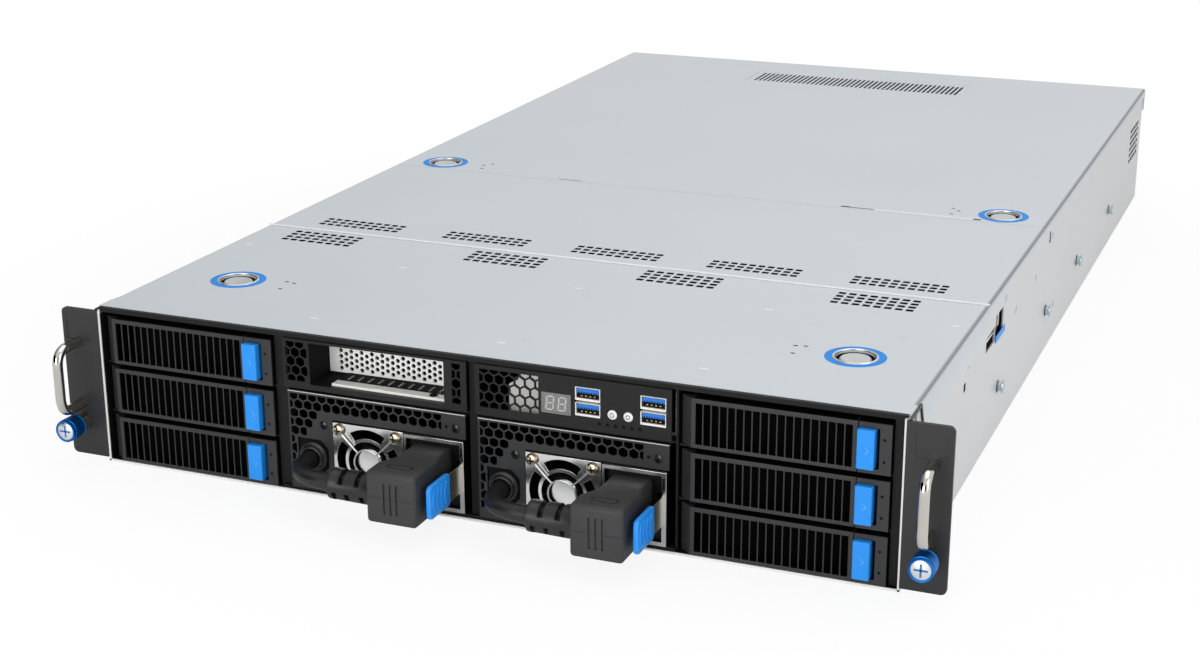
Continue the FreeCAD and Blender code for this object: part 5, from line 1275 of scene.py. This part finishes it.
def stadium(middle, long, wide):
    """An oval with straight sides."""
    end = arc((middle[0] + (long - wide) / 2, middle[1]), wide / 2, -90, 90, 10)
    return end + [(2 * middle[0] - u, 2 * middle[1] - v) for u, v in end]


def mould_plug(side, shift):
    """The block with its rounded edges, and what the mould's ribs leave in it."""
    plug = Shape(shift).sheet("top", [PLUG_OUTLINE], (10.2, 37.4), RUBBER)
    plug.soften(2.0, segments=4, angle=20)
    tools = Shape(shift)
    for k in (-1, 0, 1):
        middle = -24.8 + 3.4 * k
        tools.box((middle - 0.6, middle + 0.6), (-42, -40.2), (15.8, 31.8), RUBBER)
    tools.sheet("top", [stadium(OVAL, 14.0, 5.2), stadium(OVAL, 12.0, 3.2)], (36.8, 38.5), RUBBER)
    tools.box((-40, -9), (-42, -40.75), SEAM_Z, RUBBER)
    tools.box((-11.45, -9), (-40.6, -18), SEAM_Z, RUBBER)
    plug.cut(tools)
    stands_for = ["power_plug_" + side]
    plug.settle("mains_plug_" + side, "psu_" + side, "black_rubber", stands_for, edge=0.15, angle=40)


print("outline of a plug:", len(PLUG_OUTLINE), "corners")

# %% [markdown]
# Where the cord enters its plug, a strain relief keeps it from kinking. It is a thick sleeve that ends
# in a snug collar, and slots on all sides let it bend. Each supply gets its plug and then its relief.

# %% Plugs with their strain reliefs
RELIEF = [
    (8.6, -36.0), (8.6, -39.5), (8.3, -40.5), (7.9, -61.0), (8.1, -61.5), (8.0, -64.0), (7.3, -64.6),
    (4.8, -64.8), (4.65, -69.4), (4.45, -69.6),
]
RELIEF_Y = -27
UPPER_SLOTS = (-47.3, -56.5)
LOWER_SLOTS = (-44.5, -53.0, -60.2)
SLOT_HALF = 1.4
for side, shift in SIDES:
    mould_plug(side, shift)
    sleeve = Shape(shift).turned(RELIEF, (0, RELIEF_Y, CORD_Z), "side", CORD, 48)
    slots = Shape(shift)
    for places, z in ((UPPER_SLOTS, (24.4, 31.0)), (LOWER_SLOTS, (12.8, 19.6))):
        for x in places:
            for y in ((-37, -30.4), (-23.6, -17)):
                slots.box((x - SLOT_HALF, x + SLOT_HALF), y, z, RUBBER)
    for x in UPPER_SLOTS:
        slots.box((x - SLOT_HALF, x + SLOT_HALF), (-30.4, -23.6), (27.4, 31.0), RUBBER)
    sleeve.cut(slots)
    sleeve.settle("strain_relief_" + side, "psu_" + side, "black_rubber", edge=0.25, angle=40)
print("plugs: 2, relief slots on each side:", len(UPPER_SLOTS), "above and", len(LOWER_SLOTS), "below")

# %% [markdown]
# A blue tab beside the plug releases the power supply. It is a moulded grip with curved ribs on a
# strip of spring steel, which runs back to its pin in the supply's front.

# %% Release tabs
GRIP = [
    (-36, 16), (-35.2, 14.2), (-33.5, 13.6), (-16, 13.6), (-14.4, 14.2), (-14, 15.6), (-14, 29),
    (-14.4, 30.4), (-16, 31), (-33.5, 31), (-35.2, 30.4), (-36, 28.6),
]
RIB = [(-5.55, 0, 16.0), (-5.45, -1.6, 19.0), (-5.45, -2.2, 22.3), (-5.45, -1.6, 25.6), (-5.55, 0, 28.6)]
STRIP_Z = (14.6, 29.4)
PIN = [(0.01, STRIP_Z[0]), (1.4, STRIP_Z[0]), (1.4, STRIP_Z[1]), (0.01, STRIP_Z[1])]
for side, shift in SIDES:
    tab = Shape(shift).sheet("side", [GRIP], (-8.1, -5.5), AZURE).soften(0.7, segments=3)
    for k in range(4):
        tab.rod([(x, y - 31.6 + 4.3 * k, z) for x, y, z in RIB], 0.5, AZURE)
    tab.box((-7.1, -6.3), (-16, 8), STRIP_Z, TONGUE)
    tab.turned(PIN, (-6.6, 8, 0), "top", TONGUE, 20)
    tab.settle("release_tab_" + side, "release_" + side, "blue_plastic", ["psu_latch_" + side], edge=0.1)
print("release tabs: 2")

# %% [markdown]
# Shoulder studs on both walls carry the server on its rack rails. They are turned: a thin flange
# against the wall, a neck that runs in the rail, and a domed head. The flange is painted near black, as
# the shadow round the stud.

# %% Rail studs
STUD_Z = 27.2
STUD_FLANGE = [(3.6, 0.0), (3.6, 0.3), (3.2, 0.5), (2.6, 0.5)]
STUD_HEAD = [(2.7, 0.4), (2.7, 2.3), (3.8, 2.6), (4.0, 3.0), (3.6, 3.5), (2.2, 3.8), (0.01, 3.8)]


def outwards(sign, profile):
    """A profile that is measured from a wall, turned to point away from it."""
    return [(radius, sign * (WALL_X + out)) for radius, out in profile]


studs = Shape()
for sign in (-1, 1):
    for y in (220, 368, 486, 628):
        # The flange is painted near black as the shadow round the stud.
        studs.turned(outwards(sign, STUD_FLANGE), (0, y, STUD_Z), "side", SHADED_POLISH, 32)
        studs.turned(outwards(sign, STUD_HEAD), (0, y, STUD_Z), "side", STUD, 32)
studs.settle("rail_studs", "chassis", "chrome", ["fasteners"])
print("studs: 8")

# %% [markdown]
# The bay openings are darkened by near-black sheets of painted shade, and only the raw front edge of
# the steel tray shows bright round them. The painted shade is a thin strip on each inner wall, on the
# floor and behind the seam over the two panels, and the bright edge is a narrow trim on the tray's front.

# %% Painted shade and bright edges
shade_sheets = Shape()
# Painted shade on the inner walls, the floor and behind the seam.
for sign in (-1, 1):
    shade_sheets.box(off_wall(sign, -WALL_THICK, -1.5), (0.5, 60), (1.2, 84), BLACK_AND_SHADE)
shade_sheets.box((1.5 - WALL_X, WALL_X - 1.5), (0.5, 60), (1.2, 1.3), BLACK_AND_SHADE)
for x in ((-106, -2.6), (2.7, 105.4)):
    shade_sheets.box(x, (1.5, 3.0), (83.4, 84.8), BLACK_AND_SHADE)
shade_sheets.settle("bay_shade_sheets", "chassis", "black_plastic")
trim = Shape()
for sign in (-1, 1):
    trim.box(off_wall(sign, 0.02, -1.1), (-0.08, 0.6), (0, 85.4), CREAM)
trim.box((-WALL_X - 0.02, WALL_X + 0.02), (-0.08, 0.6), (0, 1.1), CREAM)
trim.settle("bright_edges", "chassis", "zinc_steel", edge=0.05)
print("lining and trim follow the tray's front")

# %% [markdown]
# Behind the two windows in each wall is the side latch: a steel plate painted dark as shade, with a
# bright edge, and a blue strip under the rear window marks where to push. A near-black sheet of painted
# shade lies behind the windows. Small rivets, each with a painted shadow beside it, hold the latch and
# the rails inside. Two short slots and the edge of the inner sheet are painted as dark lines of shade.

# %% Side latches and rivets
RIVET = [(1.7, -0.05), (1.7, 0.08), (1.2, 0.3), (0.01, 0.34)]
RIVETS = ((376.8, 72.8), (323.7, 60.5), (262.2, 58.5), (396.4, 22.6), (228.9, 75.4), (132.8, 67.9))
SHADE_LINES = (((124.4, 128.8), (55.8, 60.4)), ((366.0, 370.0), (71.0, 78.0)), ((32, 136), (67.7, 68.4)))
for name, sign in (("left", -1), ("right", 1)):
    plate = Shape()
    plate.box(off_wall(sign, -1.3, -1.8), (181, 202.4), (64.2, 68), SHADED_POLISH)
    plate.box(off_wall(sign, -1.3, -2.0), (181, 202.4), (63.2, 64.2), CREAM)
    plate.box(off_wall(sign, -1.4, -2.0), (205, 213), (62, 72.5), SHADED_POLISH)
    plate.box(off_wall(sign, -1.3, -2.0), (214.5, 218), (64, 71), SATIN)
    # Painted shade behind the windows.
    plate.box(off_wall(sign, -2.2, -2.6), (178, 226), (56, 75), BLACK_AND_SHADE)
    plate.box(off_wall(sign, 0.35, -0.02), (204.6, 230), (57.2, 61), AZURE)
    plate.box(off_wall(sign, -WALL_THICK, -2.2), (203, 225), (58, 58.6), BLACK_AND_SHADE)
    skin = off_wall(sign, 0.04, -0.05)
    for y, z in RIVETS:
        plate.turned(outwards(sign, RIVET), (0, y, z), "side", STUD, 20)
        # A painted shadow beside each rivet.
        plate.box(skin, (y + 1.4, y + 2.6), (z + 0.2, z + 1.8), BLACK_AND_SHADE)
    # Painted shade along the slots and the inner sheet's edge.
    for y, z in SHADE_LINES:
        plate.box(skin, y, z, BLACK_AND_SHADE)
    plate.box(off_wall(sign, 0.05, -0.05), (370.0, 371.4), (71.5, 77.5), CREAM)
    plate.settle("side_latch_" + name, "chassis", "blue_plastic")
print("side latches: 2, rivets in each wall:", len(RIVETS))

# %% [markdown]
# From each rack ear a black loop runs back along the wall, above the ear's flange. It stands for the
# ear's flange seen edge on and its shadow on the wall, so it is partly painted shadow. It is a flat
# loop: an outline with a smaller one cut out of it.

# %% Ear flange edges and their painted shadows
edge_shadows = Shape()
outer = [(0.2, 66.0), (0.2, 86.4), (21.6, 86.4), (27.4, 74.9), (30.0, 66.0)]
inner = [(1.8, 67.6), (1.8, 84.8), (20.6, 84.8), (25.6, 74.6), (28.0, 67.6)]
# The flange's edge, with its shadow painted on the wall.
for sign in (-1, 1):
    edge_shadows.sheet("side", [outer, inner], off_wall(sign, 0.95, 1.8), POWDER)
edge_shadows.settle("ear_edge_shadows", "chassis", "black_steel")
print("ear straps: 2")

# %% [markdown]
# The covers are not quite plain. Short lances over the rails below catch the light, drawn as painted
# highlights in pale dashes, spot welds leave faint rings, and near each latch three small pierced holes
# are painted dark as shade. Along the rear cover's front edge runs a fold painted pale as a highlight,
# between gaps painted dark as shade. All are only hundredths of a millimetre off the sheet, so each is
# a thin mark with the outline of the real one.

# %% Marks on the covers
LANCES = (
    (-102.4, 26), (5, 26), (112.4, 27), (-208.3, 134), (-102.2, 125), (5.2, 125), (113.4, 127), (210.6, 136),
)
WELDS = ((15, 34.4), (15, 113), (190.6, 107.7))
FRONT_HOLES = ((148.5, 77), (143.5, 76), (145.5, 64.5))
REAR_HOLES = ((163, 361), (158.5, 366), (160.3, 352.5))
SHADE_GAPS = (
    (-100.7, -84, 345, 0.35), (91.8, 97.2, 345.6, 1.0), (97.2, 113, 345.0, 0.5), (175.5, 180, 344.9, 1.0),
)
MARK_Z = (TOP, 87.55)
front_marks = Shape()
# Painted highlights on the lances.
for spot in LANCES:
    front_marks.sheet("top", [stadium(spot, 5.0, 1.3)], (TOP, 87.56), HIGHLIGHT_FOLD)
for spot in WELDS:
    front_marks.sheet("top", [ring(spot, 2.4, 24), ring(spot, 1.7, 24)], (TOP, 87.54), SATIN)
rear_marks = Shape()
for sign in (-1, 1):
    # Painted shade in the pierced holes.
    for marks, places in ((front_marks, FRONT_HOLES), (rear_marks, REAR_HOLES)):
        for x, y in places:
            marks.sheet("top", [stadium((sign * x, y), 2.4, 1.3)], MARK_Z, BLACK_AND_SHADE)
# Painted shade in the gaps beside the rear fold.
for left, right, y, half in SHADE_GAPS:
    rear_marks.sheet("top", [oblong((left, right), (y - half, y + half))], MARK_Z, BLACK_AND_SHADE)
# Painted highlight along the rear fold.
rear_marks.sheet("top", [oblong((113.4, 175), (344.3, 345.9))], MARK_Z, HIGHLIGHT_FOLD)
front_marks.settle("front_cover_marks", "front_lid", "zinc_steel")
rear_marks.settle("rear_cover_marks", "rear_lid", "zinc_steel")
print("marks on both covers:", len(LANCES), "lances,", len(WELDS), "welds")

# %% [markdown]
# The card slot is a dark box: its left wall and the floor beside the bracket's ledge are covered with
# near-black sheets of painted shade.

# %% Slot shade
# Painted shade on the slot's left wall and floor.
slot_shade_sheets = Shape().box((-90.99, -90.92), (0.3, 20.7), (60.95, 83.2), BLACK_AND_SHADE)
slot_shade_sheets.box((-90.9, -80.1), (0.3, 20.7), (60.92, 60.98), BLACK_AND_SHADE)
slot_shade_sheets.settle("slot_shade_sheets", "chassis", "black_plastic")
print("slot lining in", BLACK_AND_SHADE.name)

# %% [markdown]
# At the back are two mains inlets, which feed the cords in front, and the main board's own ports: two
# network sockets, two ports over each other and a screen socket with three rows of pins.

# %% Inlets and ports at the back
BACK = mm(tray_high.y - tray_low.y)
NETWORK_X = (-29.5, -13.5)
STACK_Z = (12.5, 21.5)
SCREEN_SOCKET = [(18.6, 21.4), (29.6, 21.4), (28.4, 13.6), (19.8, 13.6)]
SCREEN_PIN = [(0.5, BACK - 1.65), (0.5, BACK - 1.55), (0.01, BACK - 1.55)]
rear_sockets = Shape()
for x in (-78.0, 78.0):
    well = [oblong((x - 13.5, x + 13.5), (12, 32)), oblong((x - 10.6, x + 10.6), (14.6, 29.4))]
    rear_sockets.sheet("front", well, (BACK - 16, BACK - 0.2), BEZEL)
    # Painted shade at the back of each inlet well.
    rear_sockets.box((x - 13, x + 13), (BACK - 17, BACK - 16), (12.5, 31.5), BLACK_AND_SHADE)
    for offset, z in ((-6.5, 20.5), (0, 24.5), (6.5, 20.5)):
        blade = (x + offset - 0.9, x + offset + 0.9)
        rear_sockets.box(blade, (BACK - 16, BACK - 5), (z - 2.6, z + 2.6), BRIGHT)
holes = [oblong((left, left + 12.4), (12.5, 24.5)) for left in NETWORK_X]
holes += [oblong((3.0, 15.6), (low, low + 5.6)) for low in STACK_Z]
shield = [oblong((-31.9, 31.9), (9.3, 38.8))] + holes + [SCREEN_SOCKET]
rear_sockets.sheet("front", shield, (BACK - 1.0, BACK - 0.3), BRIGHT)
# floor_y holds the near-black floors of painted shade inside the socket holes.
floor_y, tongue_y = (BACK - 2.35, BACK - 2.2), (BACK - 2.2, BACK - 1.2)
for left in NETWORK_X:
    rear_sockets.box((left - 0.5, left + 12.9), floor_y, (12, 25), BLACK_AND_SHADE)
    for k in range(8):
        pin = left + 2.2 + k * 1.05
        rear_sockets.box((pin, pin + 0.5), tongue_y, (22.6, 24.2), GOLD)
for low in STACK_Z:
    rear_sockets.box((2.6, 16.0), floor_y, (low - 0.3, low + 5.9), BLACK_AND_SHADE)
    rear_sockets.box((3.8, 14.8), tongue_y, (low + 2.6, low + 4.8), TONGUE_BLUE)
rear_sockets.box((18.6, 29.6), (BACK - 2.35, BACK - 1.6), (13.6, 21.4), DEEP_BLUE)
for z in (15.6, 17.5, 19.4):
    for k in range(5):
        rear_sockets.turned(SCREEN_PIN, (20.7 + 1.7 * k, 0, z), "front", BLACK_AND_SHADE, 10)
rear_sockets.settle("rear_sockets", "chassis", "black_plastic", edge=0.1)
print("inlets: 2, ports behind: 5")

# %% [markdown]
# The point where each cord ends is worked out once more.

for side, shift in SIDES:
    at(-91 + shift, 198, 21.6)

# %% [markdown] Last, the scene is brought up to date.

# %% Bring the scene up to date
bpy.context.view_layer.update()
